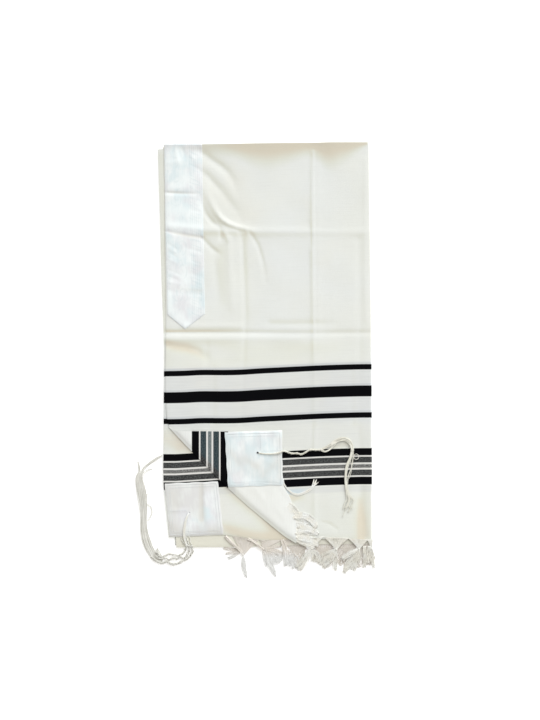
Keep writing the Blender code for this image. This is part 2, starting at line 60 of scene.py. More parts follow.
FRONT_LEFT = ((-182, -221.6), (-160, -225.4), (73, -227.6), (444.7, -232.4))  # y, x
FRONT_RIGHT = ((-433, 229.8), (29, 228), (450.4, 222.7))  # y, x
FRONT_TOP = ((-232.4, 444.7), (222.7, 450.4))  # x, y
FRONT_HEM = ((61, -440), (75, -433.5), (229.8, -433))  # x, y
FOLD_LINE = (
    (-221.6, -182), (-169.8, -236.7), (-107.7, -299.7), (-88.8, -318.6), (-70, -336), (-46, -357.5),
    (4, -399), (36, -425), (61, -440),
)
CORNER_TOP = ((-218.5, -183.5), (-207, -190.5), (-96.1, -192.3), (30.6, -188.9))
CORNER_HEM = ((30.6, -188.9), (33.5, -311.5), (46.8, -337), (55.5, -366), (60, -386), (62.5, -434))
SECOND_LEFT = (
    (-427.5, -221.4), (-308.6, -232.9), (-188.7, -232.9), (24.4, -232.9), (144, -237.6), (255, -240.4),
    (434, -246),
)
SECOND_HEM = ((-246, -427.5), (-221.4, -427.5), (-98.8, -421.8), (-14.4, -434), (61, -431), (229.8, -431))
THIRD_LEFT = ((-449.6, -204.5), (-308.6, -212), (24.4, -214), (436, -234))
THIRD_HEM = ((-238, -449.6), (-204.5, -449.6), (-20, -448), (61, -444), (229.8, -441))
BACK_LEFT = ((-447, -208), (436, -232))
SHARED_Y = -165.0  # above this the front layer's rows are level
FRONT_SIDE, SECOND_SIDE = 232.0, 246.0  # their cloth places are measured from these left edges
SECOND_END, THIRD_END, BACK_END = 449.0, 452.0, 449.0  # and along the length from these hems
PATCH_SIDE = 124.0
FLAP_PLACE = (-190.0, 34.2)  # y of the turned corner's selvedge and x of its hem
BACK_HEM, BACK_TOP = -445.0, 443.0  # y of the back layer's two ends
THREAD_ROOM = 0.12  # for the sewing, over the thickness of the satin

NECK_RIGHT = ((34.9, -141), (68.8, -141.2), (246.4, -144.4), (441, -147.4))  # y, x
NECK_LEFT = ((34.9, -224), (67, -224.4), (249, -228.4), (441, -231.4))  # y, x
NECK_END, NECK_WIDE, NECK_LONG, NECK_SHORT = 34.9, 82.0, 400.0, 380.0
NECK_POINT = ((0.0, 67.0), (0.467, NECK_END), (1.0, 68.8))  # share across, y
PATCH_FRONT = ((-97, -193.6), (29.2, -190.4), (32, -310.8), (-89.6, -315.4))
PATCH_BACK = ((-230.4, -307.6), (-112.5, -303), (-99.8, -420.4), (-220.2, -425.8))
HOLE_FRONT, HOLE_BACK = (-24.0, -238.9), (-175.6, -372.3)

# The weave: how far the weft sags towards the left, and the stripes as distances from the hem.
SAG = (
    (-246, 15.6), (-228, 15.5), (-185, 14.6), (-152, 12.9), (-97, 13), (-63, 12.3), (-19, 9.5), (26, 7.2),
    (70, 5), (114, 2.9), (159, 1.3), (203, 0.2), (228, 0),
)
BLACK_STRIPES = ((378.8, 390.8), (319, 343.4), (271.8, 283.9))
BAND_TOP = 204.3
BAND = (15.9, 3.1, 13.0, 3.6, 8.2, 3.6, 13.0, 3.1, 17.0)  # black, white, dark, white, grey, ...

# Creases, as (x, y, height, half width) along each: a trough where the height is under 0.
CREASES = (
    ((-152, 430, -0.9, 9), (-127, 410, -1.3, 9), (-107, 397, -1.4, 9), (-91, 383, -1.2, 9),
     (-79, 364, -0.9, 9), (-73, 345, -0.4, 8)),
    ((-152, 386, -0.8, 9), (-136, 375, -1.2, 9), (-121, 358, -1.3, 9), (-104, 340, -1.1, 10),
     (-86, 315, -0.9, 10), (-70, 296, -0.6, 10), (-60, 276, -0.3, 8)),
    ((-146, 354, 0.3, 8), (-134, 330, 0.8, 8), (-125, 311, 1.1, 7), (-115, 293, 1.6, 6),
     (-104, 279, 2.1, 5), (-89, 269, 2.1, 4.5), (-69, 262, 1.6, 4), (-48, 257, 1, 4), (-30, 254, 0.3, 5)),
    ((-152, 335, -0.3, 5), (-148, 310, -0.6, 5), (-139, 290, -1, 5), (-124, 271, -1.2, 4.5),
     (-112, 264, -0.4, 4)),
    ((-107, 260, -1, 2.6), (-106, 236, -0.7, 3)), ((-96, 248, 0.7, 3.5), (-90, 233, 0.5, 3.5)),
    ((-66, 254, -0.5, 2), (-65, 243, -0.3, 2)), ((-54, 254, -0.5, 2), (-52, 243, -0.3, 2)),
    ((-144, 255, 1, 8), (-103, 255, 1, 8), (-63, 250, 1, 8), (3, 252, 0.9, 9), (79, 251, 0.7, 8),
     (110, 250, 0.5, 7), (170, 250, 0.4, 7), (225, 250, 0.4, 7)),
    ((93, 266, -0.3, 2.4), (94, 243, -0.8, 2.4), (96, 215, -0.3, 2.4)),
    ((108, 420, 0.3, 9), (110, 60, 0.5, 9), (110, -60, 0.3, 9)),
    ((98, 428, 0.6, 3.2), (97, 251, 1.2, 3.6), (99, 60, 0.8, 3.6), (101, -50, 0.5, 5),
     (102, -167, 0.5, 5), (103, -433, 0.5, 5)),
    ((-59, 250, -0.9, 4.5), (-55, 170, -0.8, 4.5), (-51, 60, -0.5, 5), (-60, -175, -0.25, 5)),
    ((-42, 250, -0.6, 3.5), (-24, 222, -0.8, 3.5), (-15, 193, -0.8, 3.5), (-11, 171, -0.5, 4),
     (-6, 138, -0.2, 5)),
    ((-88, 236, 0.7, 8), (-86, 165, 0.8, 9), (-80, 85, 0.4, 10)),
    ((-120, 205, -0.5, 9), (-117, 160, -0.8, 10), (-110, 95, -0.3, 11)),
    ((-147, 236, -0.9, 4.5), (-126, 214, -0.9, 4.5), (-110, 202, -0.4, 5)),
    ((-263, 27, -1.2, 4.5), (-63, 27, -1, 4.5), (60, 26, -0.8, 5), (228, 27, -0.7, 4.5)),
    ((-263, 14, 0.8, 8), (-119, 14, 0.6, 8), (70, 15, 0.2, 8)), ((-188, 42, 0.4, 5), (-63, 42, 0.4, 5)),
    ((2, 47, -0.5, 7), (110, 47, -0.5, 7), (150, 47, -0.2, 7)),
    ((-234, 1, -0.8, 8), (-205, -3, -0.8, 8), (-182, -6, -0.8, 8), (-160, -12, -0.7, 8),
     (-142, -25, -0.5, 8), (-128, -39, -0.1, 8)),
    ((-137, 0, -0.3, 6), (-137, -180, -0.3, 6)),
    ((200, 233, -0.5, 8), (203, 56, -0.5, 8), (200, -180, -0.3, 7), (205, -335, -1, 10),
     (212, -424, -1.3, 11)),
    ((214, 411, 0.4, 5), (216, 56, 0.4, 5)),
    ((-229, 338, -0.5, 2.4), (-190, 337, -0.5, 2.4), (-160, 336, -0.2, 2.4)),
    ((-228, 253, -0.5, 2.4), (-200, 248, -0.6, 2.4), (-172, 243, -0.6, 2.4), (-148, 240, -0.4, 2.4)),
    ((-122, -50, -0.3, 5), (-123, -175, -0.3, 5)), ((0, -60, -0.25, 6), (2, -170, -0.25, 6)),
    ((183, -45, -0.3, 7), (184, -170, -0.3, 7)), ((100, -160, -0.4, 4), (96, -230, -0.3, 4)),
    ((119, -394, -0.3, 2.4), (136, -398, -0.45, 2.4), (152, -410, -0.3, 2.4)),
)
# Painted warm shade, as (x, y, amount, half width) along each.
PAINTED_SHADE_LINES = (
    ((-232, -1, 0.9, 9), (-211, -5, 1.4, 9), (-182, -9, 1.5, 9), (-160, -16, 1.2, 9), (-144, -27, 0.7, 9),
     (-131, -38, 0.2, 9), (-121, -47, 0, 9)),
    ((-126, 3, 0.1, 9), (-100, 1, 0.3, 11), (-60, -8, 0.4, 14), (100, -6, 0.4, 14), (150, -8, 0.2, 12)),
    ((-115, -40, 0.2, 10), (-60, -32, 0.3, 10), (60, -30, 0.2, 10)),
    ((-145, 245, 0.4, 7), (-95, 244, 0.5, 7), (-50, 246, 0.4, 6), (-25, 247, 0.2, 5)),
    ((-119, -60, 0.4, 9), (-117, -175, 0.4, 9)), ((-66, -60, 0.3, 5), (-62, -170, 0.3, 5)),
    ((105, -60, 0.3, 7), (103, -175, 0.4, 7)), ((190, -60, 0.3, 7), (192, -175, 0.4, 8)),
    ((148, -225, 0.9, 6), (172, -220, 1, 6)),
    ((203, -345, 1, 8), (205, -385, 1.8, 9), (206, -428, 1.9, 9)),
    ((-104, 215, 0.5, 10), (-104, 150, 0.5, 11), (-100, 95, 0.3, 12)),
    ((-50, 236, 0.5, 5), (-49, 160, 0.5, 6), (-45, 60, 0.3, 6)),
    ((-228, 31, 1, 2.6), (-130, 32, 0.8, 2.6), (-60, 33, 0.2, 3)), ((12, 50, 0.4, 8), (120, 50, 0.3, 8)),
    ((-226, -199, 0.5, 8), (-214, -225, 0.5, 8)),
    ((-96, -408, 0.6, 9), (-60, -424, 0.9, 9), (-20, -428, 1, 9), (40, -429, 1, 9)),
    ((30, -328, 0.9, 6), (56, -341, 1.3, 6), (76, -338, 0.7, 6)),
)
# Painted warm shade on the second layer, as (x, y, amount, half width) along each.
SECOND_PAINTED_SHADE = (
    ((-236, -205, 1, 14), (-200, -228, 1.3, 12)),
    ((-106, -396, 0.4, 8), (-84, -406, 0.8, 9), (-30, -418, 0.8, 9), (30, -424, 0.7, 8)),
    ((-240, 420, 0.6, 8), (-236, 240, 0.8, 7), (-231, 40, 0.8, 6)),
)
# The soft dip under the top fold: how far it reaches down at each x, and its slope.
TOP_DIP = (
    (-232, 10), (-150, 18), (-81, 24), (-17, 42), (10, 44), (43, 36), (74, 26), (94, 24), (141, 48),
    (173, 34), (205, 14), (228, 3),
)
TOP_SLOPE = 0.17
SLOPE_SHADE_GAIN = 5.0  # how soon a slope counts as wholly turned away, in full painted shade
CREASE_GAIN, CREASE_WIDE = 1.8, 1.45  # all creases are this much deeper and wider than their rows say
EDGE_DROP, EDGE_WIDTH = 1.1, 16.0  # how far the free left edges sink
SETTLE, SETTLE_WIDTH = 0.42, 6.0  # every free edge lies down on the layer under it


# ---- curves and grids
def mix(a, b, share):
    """The place between a and b, at this share of the way."""
    return (1.0 - share) * a + share * b


def step(at, low, high):
    """0 below low, 1 above high, and a smooth s between."""
    t = np.clip((at - low) / (high - low), 0.0, 1.0)
    return t * t * (3.0 - 2.0 * t)


def on(rows, at):
    """Straight runs through rows of (place, value)."""
    place, value = np.array(rows, float).T
    return np.interp(at, place, value)


def flow(rows, at):
    """A smooth curve through rows of (place, value): cubic pieces whose slope at each row is the
    mean of the slopes on its two sides."""
    place, value = np.array(rows, float).T
    rise = np.diff(value) / np.diff(place)
    slope = np.concatenate([rise[:1], (rise[1:] + rise[:-1]) / 2, rise[-1:]])
    at = np.clip(at, place[0], place[-1])
    k = np.clip(np.searchsorted(place, at) - 1, 0, len(place) - 2)
    gap = place[k + 1] - place[k]
    t = (at - place[k]) / gap
    return ((1 + 2 * t) * (1 - t) ** 2 * value[k] + t * (1 - t) ** 2 * gap * slope[k]
            + t * t * (3 - 2 * t) * value[k + 1] - t * t * (1 - t) * gap * slope[k + 1])


def even(count, first=0.0, last=1.0):
    """Numbers at equal steps from first to last, both included."""
    return np.linspace(first, last, count)


def join(*parts):
    """Coordinates of any matching shapes, side by side as one array of points."""
    return np.stack(np.broadcast_arrays(*parts), -1)


def unit(ways):
    """Directions brought to length 1: each divided by its own length."""
    return ways / (np.linalg.norm(ways, axis=-1, keepdims=True) + 1e-9)


def reach_of(points):
    """The length run along points up to each of them."""
    runs = np.linalg.norm(np.diff(points, axis=-2), axis=-1)
    return np.concatenate([0 * runs[..., :1], np.cumsum(runs, axis=-1)], -1)


def along(table, shares, soft=True):
    """Points at shares of the length of a line through the rows of a table."""
    rows = np.array(table, float)
    reach = reach_of(rows)
    at = np.asarray(shares) * reach[-1]
    line = flow if soft else on
    return np.stack([line(np.stack([reach, column], 1), at) for column in rows.T], -1)


def runs_near(x, y, rows):
    """For each straight run between rows that begin with (x, y): the distance of the places from
    it, their share of its length, and its two rows."""
    for row, after in zip(rows, rows[1:]):
        dx, dy = after[0] - row[0], after[1] - row[1]
        share = np.clip(((x - row[0]) * dx + (y - row[1]) * dy) / (dx * dx + dy * dy), 0.0, 1.0)
        yield np.hypot(x - row[0] - share * dx, y - row[1] - share * dy), share, row, after


def line_distance(rows, x, y):
    """How far places are from a line through the rows: the least distance to its runs."""
    return np.minimum.reduce([gone for gone, *_ in runs_near(x, y, rows)])


def creases(table, x, y):
    """The sum of all creases of a table: height / (1 + (d / half width)^2)^2 at the distance d from
    a line, its height and its half width running evenly from one row to the next."""
    made = 0
    for rows in table:
        best = np.zeros(np.broadcast(x, y).shape)
        for gone, share, row, after in runs_near(x, y, rows):
            gone = gone / (CREASE_WIDE * mix(row[3], after[3], share))
            here = mix(row[2], after[2], share) / (1.0 + gone * gone) ** 2
            best = np.where(np.abs(here) > np.abs(best), here, best)
        made = made + best
    return made


WAVES = np.stack([chance.uniform(0.010, 0.045, 9), chance.uniform(0.0, math.pi, 9),
                  chance.uniform(0.0, 2 * math.pi, 9)], 1)


def unrest(x, y):
    """Slow waves in the cloth: the sum of nine sines, each with its own length and direction."""
    made = 0.0
    for often, turn, start in WAVES:
        made = made + np.sin(often * (x * math.cos(turn) + y * math.sin(turn)) * 2 + start)
    return 0.13 * made


def painted_shade(relief, x, y):
    """Painted shade: how far a place turns away from the light at the top right, from the
    slope of the relief towards it."""
    reach = 4.0
    dx, dy = 0.4 * reach, 0.9 * reach
    up = relief(x + dx, y + dy) - relief(x - dx, y - dy)
    return np.clip(up / (2 * reach) * SLOPE_SHADE_GAIN, 0.0, 1.0)


def below_top(x, y):
    """How far below the top fold a place is, as a share of the soft dip's reach."""
    return (flow(FRONT_TOP, x) - y) / flow(TOP_DIP, x)


def painted_warm_shade(x, y):
    """Painted warm shade: the table's lines, the zone under the top fold, and broad bands."""
    down = below_top(x, y)
    return (creases(PAINTED_SHADE_LINES, x, y)
            + 1.15 * np.exp(-((down / 0.9) ** 2)) * step(x, -130.0, -40.0) + 0.35 * np.exp(-(down**2))
            + 0.3 * step(-y, -30.0, 0.0) * (1.0 - step(-y, 45.0, 60.0))
            + 0.3 * step(-y, 165.0, 175.0) + 0.2 * step(-y, 325.0, 400.0) * step(x, -10.0, 60.0))


def edge_bell(inside, width):
    """exp(-(inside / width)^2), where inside is the distance from a free edge."""
    return np.exp(-((np.maximum(inside, 0.0) / width) ** 2))


def main_relief(x, y):
    """The creases, and the free left edge that sinks."""
    return CREASE_GAIN * creases(CREASES, x, y) - EDGE_DROP * step(y, -150.0, -60.0) * edge_bell(
        x - flow(SECOND_LEFT, y), EDGE_WIDTH)


def settle(inside):
    """How far a free edge lies down."""
    return -SETTLE * edge_bell(inside, SETTLE_WIDTH)


def fold_distance(x, y):
    """How far places are from the fold of the turned corner."""
    return line_distance(FOLD_LINE, x, y)


def fold_press(x, y):
    """The fold of the turned corner lies down on the second layer."""
    return -0.45 * edge_bell(fold_distance(x, y), 7.0) * step(-y, 165.0, 195.0)


def fold_shade(x, y):
    """Painted warm shadow under the swelling fold of the turned corner, on the layer beneath."""
    return 1.3 * np.exp(-((fold_distance(x, y) / 15.0) ** 1.6)) * step(-y, 170.0, 205.0)


def roll_shade(x, y):
    """Painted warm shade on the turned corner where it bends down to the fold."""
    return 0.95 * edge_bell(fold_distance(x, y), 7.0) * step(-y, 235.0, 275.0)


def front_relief(x, y):
    """The front layer's relief: the main one, slow waves, a slope up to the top fold, and the free
    edges at the left and at the hem."""
    rise = TOP_SLOPE * flow(TOP_DIP, x) * (1.0 - np.clip(below_top(x, y) / 1.5, 0.0, 1.0)) ** 2
    edges = (settle(x - flow(FRONT_LEFT, y)) * step(y, -200.0, -170.0)
             + settle(y - flow(FRONT_HEM, x)) * step(x, 50.0, 75.0))
    return main_relief(x, y) + unrest(x, y) + rise + edges + fold_press(x, y)


def second_relief(x, y):
    """The second layer follows the front one, hangs a little at its hem, and stands up beside the
    fold that lies on it."""
    left = step(-x, 60.0, 100.0) * step(-y, 200.0, 240.0)
    hem = step(-y, 395.0, 432.0) * step(-x, -60.0, 110.0)
    edges = settle(x - flow(SECOND_LEFT, y)) + settle(y - flow(SECOND_HEM, x))
    return ((1 - left) * main_relief(x, y) + unrest(x + 300, y) - hem + edges
            + creases(UNDER_PATCH, x, y) - 0.8 * fold_press(x, y))


def flap_relief(x, y):
    """The turned corner: it swells beside the fold and lies flatter towards its free edges."""
    to_fold = fold_distance(x, y)
    swell = 1.1 * (to_fold / 14.0) * np.exp(1.0 - to_fold / 14.0) * step(to_fold, 0.0, 8.0)
    edges = settle(line_distance(CORNER_TOP, x, y)) + settle(line_distance(CORNER_HEM, x, y))
    return (swell + creases(FLAP_CREASES, x, y) + unrest(x, y + 500)
            + edges * step(to_fold, 4.0, 20.0) + 2.2 * fold_press(x, y))


UNDER_PATCH = (((-150, -300, -0.9, 2.4), (-148, -385, -0.9, 2.4)),)
FLAP_CREASES = (
    ((-30, -318, 0.8, 10), (22, -372, 0.9, 12), (52, -420, 0.5, 10)),
    ((-10, -330, -0.5, 8), (30, -392, -0.6, 8)), ((20, -318, -0.5, 7), (44, -350, -0.5, 7)),
    ((-196, -190, 0.5, 5), (-60, -191, 0.4, 5)), ((-160, -200, -0.3, 8), (-158, -240, -0.3, 8)),
    ((-63, -196, -0.4, 5), (-60, -240, -0.3, 6)), ((-20, -196, 0.5, 5), (-19, -225, 0.3, 6)),
    ((2, -196, -0.5, 5), (4, -232, -0.3, 6)), ((-30, -262, 0.5, 9), (16, -292, 0.4, 9)),
    ((-70, -258, -0.4, 9), (-30, -300, -0.4, 9)),
)


class Grids:
    """Grids of points sewn into one mesh. Each grid holds the numbers of shared points and its own
    cloth places (u, v) in millimetres, from the selvedge and from the hem."""

    def __init__(self):
        self.points, self.faces, self.places, self.shades, self.count = [], [], [], [], 0

    def put(self, points, shade=0.0):
        """Adds points, with their painted shade (under 0: painted light), and returns their numbers."""
        shape = points.shape[:-1]
        self.shades.append(np.broadcast_to(shade, shape).ravel())
        numbers = self.count + np.arange(int(np.prod(shape))).reshape(shape)
        self.points.append(points.reshape(-1, 3))
        self.count += numbers.size
        return numbers

    def sew(self, numbers, places, flip=False):
        """Faces between the rows and columns of a grid of numbers."""
        for store, grid in ((self.faces, numbers[..., None]), (self.places, places)):
            corners = [grid[:-1, :-1], grid[1:, :-1], grid[1:, 1:], grid[:-1, 1:]]
            corners = corners[::-1] if flip else corners
            store.append(np.stack(corners, 2).reshape(-1, 4, grid.shape[-1]))

    def piece(self, name, material, wall=None):
        """The finished object, with a wall of this thickness round its middle surface."""
        made = mesh_piece(name, np.concatenate(self.points), [np.concatenate(self.faces)[..., 0]],
                          material, np.concatenate(self.places).reshape(-1, 2))
        # Each point's painted shade, as an attribute that the materials read.
        made.data.attributes.new("painted_shade", "FLOAT", "POINT").data.foreach_set(
            "value", np.concatenate(self.shades).astype(np.float32))
        if wall:
            shell = made.modifiers.new("wall", "SOLIDIFY")
            shell.thickness, shell.offset = wall * MM, 0.0
            shell.use_even_offset = False
            # The cut edges don't darken the cloth beside them: the larger faces give the normals.
            made.modifiers.new("normals", "WEIGHTED_NORMAL").weight = 100
        return made


def mesh_piece(name, points, faces, material, places):
    """A smooth-shaded object from points in millimetres and arrays of faces."""
    mesh = bpy.data.meshes.new(name)
    mesh.from_pydata((points * MM).tolist(), [], [f for group in faces for f in group.tolist()])
    mesh.polygons.foreach_set("use_smooth", np.ones(len(mesh.polygons), bool))
    mesh.uv_layers.new(name="cloth").data.foreach_set("uv", (places * MM).astype(np.float32).ravel())
    mesh.materials.append(material)
    made = bpy.data.objects.new(name, mesh)
    bpy.context.scene.collection.objects.link(made)
    if name != "floor":
        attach(made, "root")
    return made


def tubes(name, paths, radii, material, sides=5):
    """Round threads with closed ends, in one mesh.

    paths is (threads, points, 3) and radii (threads, points): each ring is its point + radius *
    (cos * across + sin * up), with both directions square to the path. Places are (turn, length)."""
    count, many = paths.shape[:2]
    way = unit(np.gradient(paths, axis=1))
    across = unit(np.cross(way, [0.02, 0.013, 1.0]))
    turn = even(sides + 1, 0.0, 2 * math.pi)[:-1, None]
    ring = across[:, :, None] * np.cos(turn) + np.cross(across, way)[:, :, None] * np.sin(turn)
    rings = paths[:, :, None] + radii[:, :, None, None] * ring
    points = np.concatenate([rings.reshape(-1, 3), paths[:, 0], paths[:, -1]])
    numbers = np.arange(count * many * sides).reshape(count, many, sides)
    after = np.roll(numbers, -1, axis=2)
    quads = np.stack([numbers[:, :-1], after[:, :-1], after[:, 1:], numbers[:, 1:]], -1)
    tips = numbers.size + np.repeat(np.arange(2 * count), sides)
    caps = np.stack([tips, np.append(after[:, 0], numbers[:, -1]),
                     np.append(numbers[:, 0], after[:, -1])], 1)
    length = reach_of(paths)[:, :, None]
    share = np.arange(sides) / sides
    places = np.stack([join(share + more, at) for more, at in (
        (0.0, length[:, :-1]), (1 / sides, length[:, :-1]), (1 / sides, length[:, 1:]),
        (0.0, length[:, 1:]))], -2)
    made = mesh_piece(name, points, [quads.reshape(-1, 4), caps], material, np.concatenate(
        [places.reshape(-1, 2) * [1 / MM, 1.0], np.zeros((len(caps) * 3, 2))]))
    return made


# ---- materials
class Wire:
    """A socket that arithmetic can be done with; each operation adds a Math node."""

    def __init__(self, paint, socket):
        self.paint, self.socket = paint, socket

    def math(self, operation, *values):
        """The result of one Math node on this socket and the values."""
        return self.paint.node("Math", {"operation": operation}, dict(enumerate((self, *values))))

    def wave(self, length):
        """A sine that repeats after this length."""
        return (self * (2 * math.pi / length)).math("SINE")

    def __add__(self, other):
        return self.math("ADD", other)

    def __sub__(self, other):
        return self.math("SUBTRACT", other)

    def __rsub__(self, other):
        return self.paint.node("Math", {"operation": "SUBTRACT"}, {0: other, 1: self})

    def __mul__(self, other):
        return self.math("MULTIPLY", other)

    __radd__, __rmul__ = __add__, __mul__


class Paint:
    """A material: its shader and the nodes that feed it."""

    def __init__(self, name, **settings):
        self.material = bpy.data.materials.new(name)
        self.material.use_nodes = True
        self.tree = self.material.node_tree
        self.shader = self.tree.nodes["Principled BSDF"]
        for socket, value in settings.items():
            self.shader.inputs[socket.replace("_", " ")].default_value = value

    def node(self, kind, settings=None, inputs=None, out=0):
        """One of the outputs of a new node, whose settings come first and then its sockets."""
        made = self.tree.nodes.new("ShaderNode" + kind)
        for key, value in (settings or {}).items():
            setattr(made, key, value)
        for key, value in (inputs or {}).items():
            self.feed(made.inputs[key], value)
        return Wire(self, made.outputs[out])

    def feed(self, socket, value):
        """Links a socket to a Wire or sets it to numbers; a colour gets its alpha."""
        if isinstance(value, Wire):
            self.tree.links.new(value.socket, socket)
        else:
            socket.default_value = (*value, 1.0) if socket.type == "RGBA" else value

    def set(self, socket, value):
        """Feeds a socket of the shader."""
        self.feed(self.shader.inputs[socket], value)

    def place(self):
        """The piece's own UV map, as (u, v) in metres."""
        where = self.node("UVMap")
        return [self.node("SeparateXYZ", inputs={0: where}, out=k) for k in (0, 1)]

    def light(self):
        """Each point's painted shade: over 0 painted shade in the hollows, under 0 painted light."""
        return self.node("Attribute", {"attribute_name": "painted_shade"}, out=2)

    def at(self, u, v, w=0.0):
        """Three numbers as one place."""
        return self.node("CombineXYZ", inputs={0: u, 1: v, 2: w})

    def object_place(self):
        """The place in the frame of the part, in metres."""
        return self.node("TexCoord", out=3)

    def noise(self, where, scale, detail=2.0):
        """Clouds between 0 and 1, about this many to one unit of the place."""
        return self.node("TexNoise", inputs={"Vector": where, "Scale": scale, "Detail": detail})

    def rise(self, value, low, high):
        """0 below low, 1 above high, with a smooth s between."""
        return self.node("MapRange", {"interpolation_type": "SMOOTHSTEP"},
                         {"Value": value, "From Min": low, "From Max": high})

    def between(self, value, low, high, soft):
        """1 from low to high, with soft ends."""
        return self.rise(value, low - soft, low + soft) - self.rise(value, high - soft, high + soft)

    def blend(self, share, a, b):
        """The colour a, turned into b by this share."""
        return self.node("Mix", {"data_type": "RGBA"}, {0: share, 6: a, 7: b}, out=2)

    def layers(self, base, *rows):
        """Colours laid over the base one after another, each by its own share."""
        for share, colour in rows:
            base = self.blend(share, base, colour)
        return base

    def bump(self, height, strength, distance):
        """Turns the normals as if the surface rose by height * distance."""
        self.set("Normal", self.node("Bump", inputs={
            "Height": height, "Strength": strength, "Distance": distance}))


WHITE_WOOL, COOL_WOOL, CREAM_WOOL = (0.80, 0.812, 0.775), (0.79, 0.81, 0.80), (0.80, 0.797, 0.74)
# The colours of painted shade, of deeper painted shade and of painted light.
PAINTED_SHADE_WOOL, PAINTED_DEEP_SHADE_WOOL = (0.765, 0.775, 0.688), (0.735, 0.665, 0.54)
PAINTED_LIGHT_WOOL, SLUB_GREY = (0.87, 0.88, 0.86), (0.66, 0.67, 0.64)
# The third colour here is a painted bluish shade.
BESIDE_STRIPES, ABOVE_STRIPES, PAINTED_BLUE_SHADE = (0.60, 0.61, 0.63), (0.44, 0.47, 0.52), (0.62, 0.71, 0.76)
BLACK_WOOL, WHITE_LINE = (0.002, 0.002, 0.003), (0.74, 0.73, 0.71)
DARK_GREY = ((0.006, 0.006, 0.007), (0.14, 0.145, 0.145))
MIDDLE_GREY = ((0.05, 0.05, 0.05), (0.4, 0.4, 0.39))
PATTERN_BLUE = (0.54, 0.65, 0.69)
SATIN_PAINTED_SHEEN, SATIN_BLUE, SATIN_LILAC = (0.87, 0.905, 0.91), (0.72, 0.81, 0.84), (0.77, 0.775, 0.80)


def woven_wool():
    """White wool with black stripes and a striped band. The weave is sines across the two threads,
    the slubs are noise stretched along the weft, and the stripes are steps of the distance from
    the hem. In the band's grey parts black and white threads take turns."""
    paint = Paint("woven_wool", Roughness=0.88, Specular_IOR_Level=0.04)
    u, v = paint.place()
    grow = paint.noise(paint.at(u * 16.0, v * 520.0), 1.0, 3.0)
    drift = paint.noise(paint.at(u * 5.0, v * 5.0), 1.0, 3.0)
    fuzz = paint.noise(paint.at(u, v), 1400.0, 2.0)
    weft, warp = v.wave(0.00085), u.wave(0.00095)
    edge = v + (fuzz - 0.5) * 0.0007
    warmth = paint.noise(paint.at(u * 9.0 + 4.0, v * 7.0), 1.0, 2.0)
    shade = paint.light()
    bright = shade * -1.0
    # The ground beside and between the stripes is a little greyer, with more marked slubs.
    near = (paint.between(edge, 0.262, 0.396, 0.006) + paint.between(edge, 0.108, 0.122, 0.004)
            + paint.between(edge, 0.206, 0.262, 0.006) * 0.5)
    ink = [paint.between(edge, low * MM, high * MM, 0.0006) for low, high in BLACK_STRIPES]
    above = [paint.between(edge, high * MM, high * MM + 0.0045, 0.0022) for _, high in BLACK_STRIPES]
    # A painted bluish shade just under the band, beside the tassel's rope.
    nook_shade = paint.between(edge, 0.108, 0.1185, 0.004) * paint.between(u, 0.268, 0.312, 0.014)
    lines = [BAND_TOP - sum(BAND[:k]) for k in range(len(BAND) + 1)]
    parts = [paint.between(edge, low * MM, high * MM, 0.0005) for high, low in zip(lines, lines[1:])]
    black = ink[0] + ink[1] + ink[2] + parts[0] + parts[8]
    dark, middle = parts[2] + parts[6], parts[4]
    pepper = paint.noise(paint.at(u * 520.0, v * 700.0), 1.0, 1.0)
    speck = paint.rise(pepper + u.wave(0.0042) * v.wave(0.0024) * 0.10, 0.40, 0.66)
    bluer = paint.rise(bright, 0.1, 0.45) * 0.35
    # Over the wool's own colours: painted light and shade from each point's painted shade, the painted
    # bluish shade, and the band's dark and grey parts bluer where the cloth is painted brighter.
    paint.set("Base Color", paint.layers(
        WHITE_WOOL,
        (paint.rise(drift, 0.35, 0.7), COOL_WOOL), (paint.rise(warmth, 0.5, 0.8) * 0.7, CREAM_WOOL),
        (paint.rise(bright, 0.0, 0.8), PAINTED_LIGHT_WOOL), (paint.rise(shade, 0.0, 1.1) * 0.85, PAINTED_SHADE_WOOL),
        (paint.rise(shade, 0.7, 2.0) * 0.8, PAINTED_DEEP_SHADE_WOOL), (paint.rise(grow, 0.45, 0.75) * 0.16, SLUB_GREY),
        (near * (grow * 0.5 + 0.12), BESIDE_STRIPES),
        ((above[0] + above[1] + above[2]) * 0.42, ABOVE_STRIPES), (nook_shade * 0.8, PAINTED_BLUE_SHADE),
        (dark, paint.blend(speck, *DARK_GREY)), (middle, paint.blend(speck, *MIDDLE_GREY)),
        (dark * bluer, (0.02, 0.07, 0.09)), (middle * bluer, (0.16, 0.24, 0.26)),
        (parts[1] + parts[3] + parts[5] + parts[7], WHITE_LINE), (black, BLACK_WOOL)))
    paint.set("Roughness", 0.9 - black * 0.22)
    paint.bump(weft * warp * 0.5 + weft * 0.35 + grow * 1.4 + fuzz * 0.8, 0.5, 0.00022)
    return paint.material


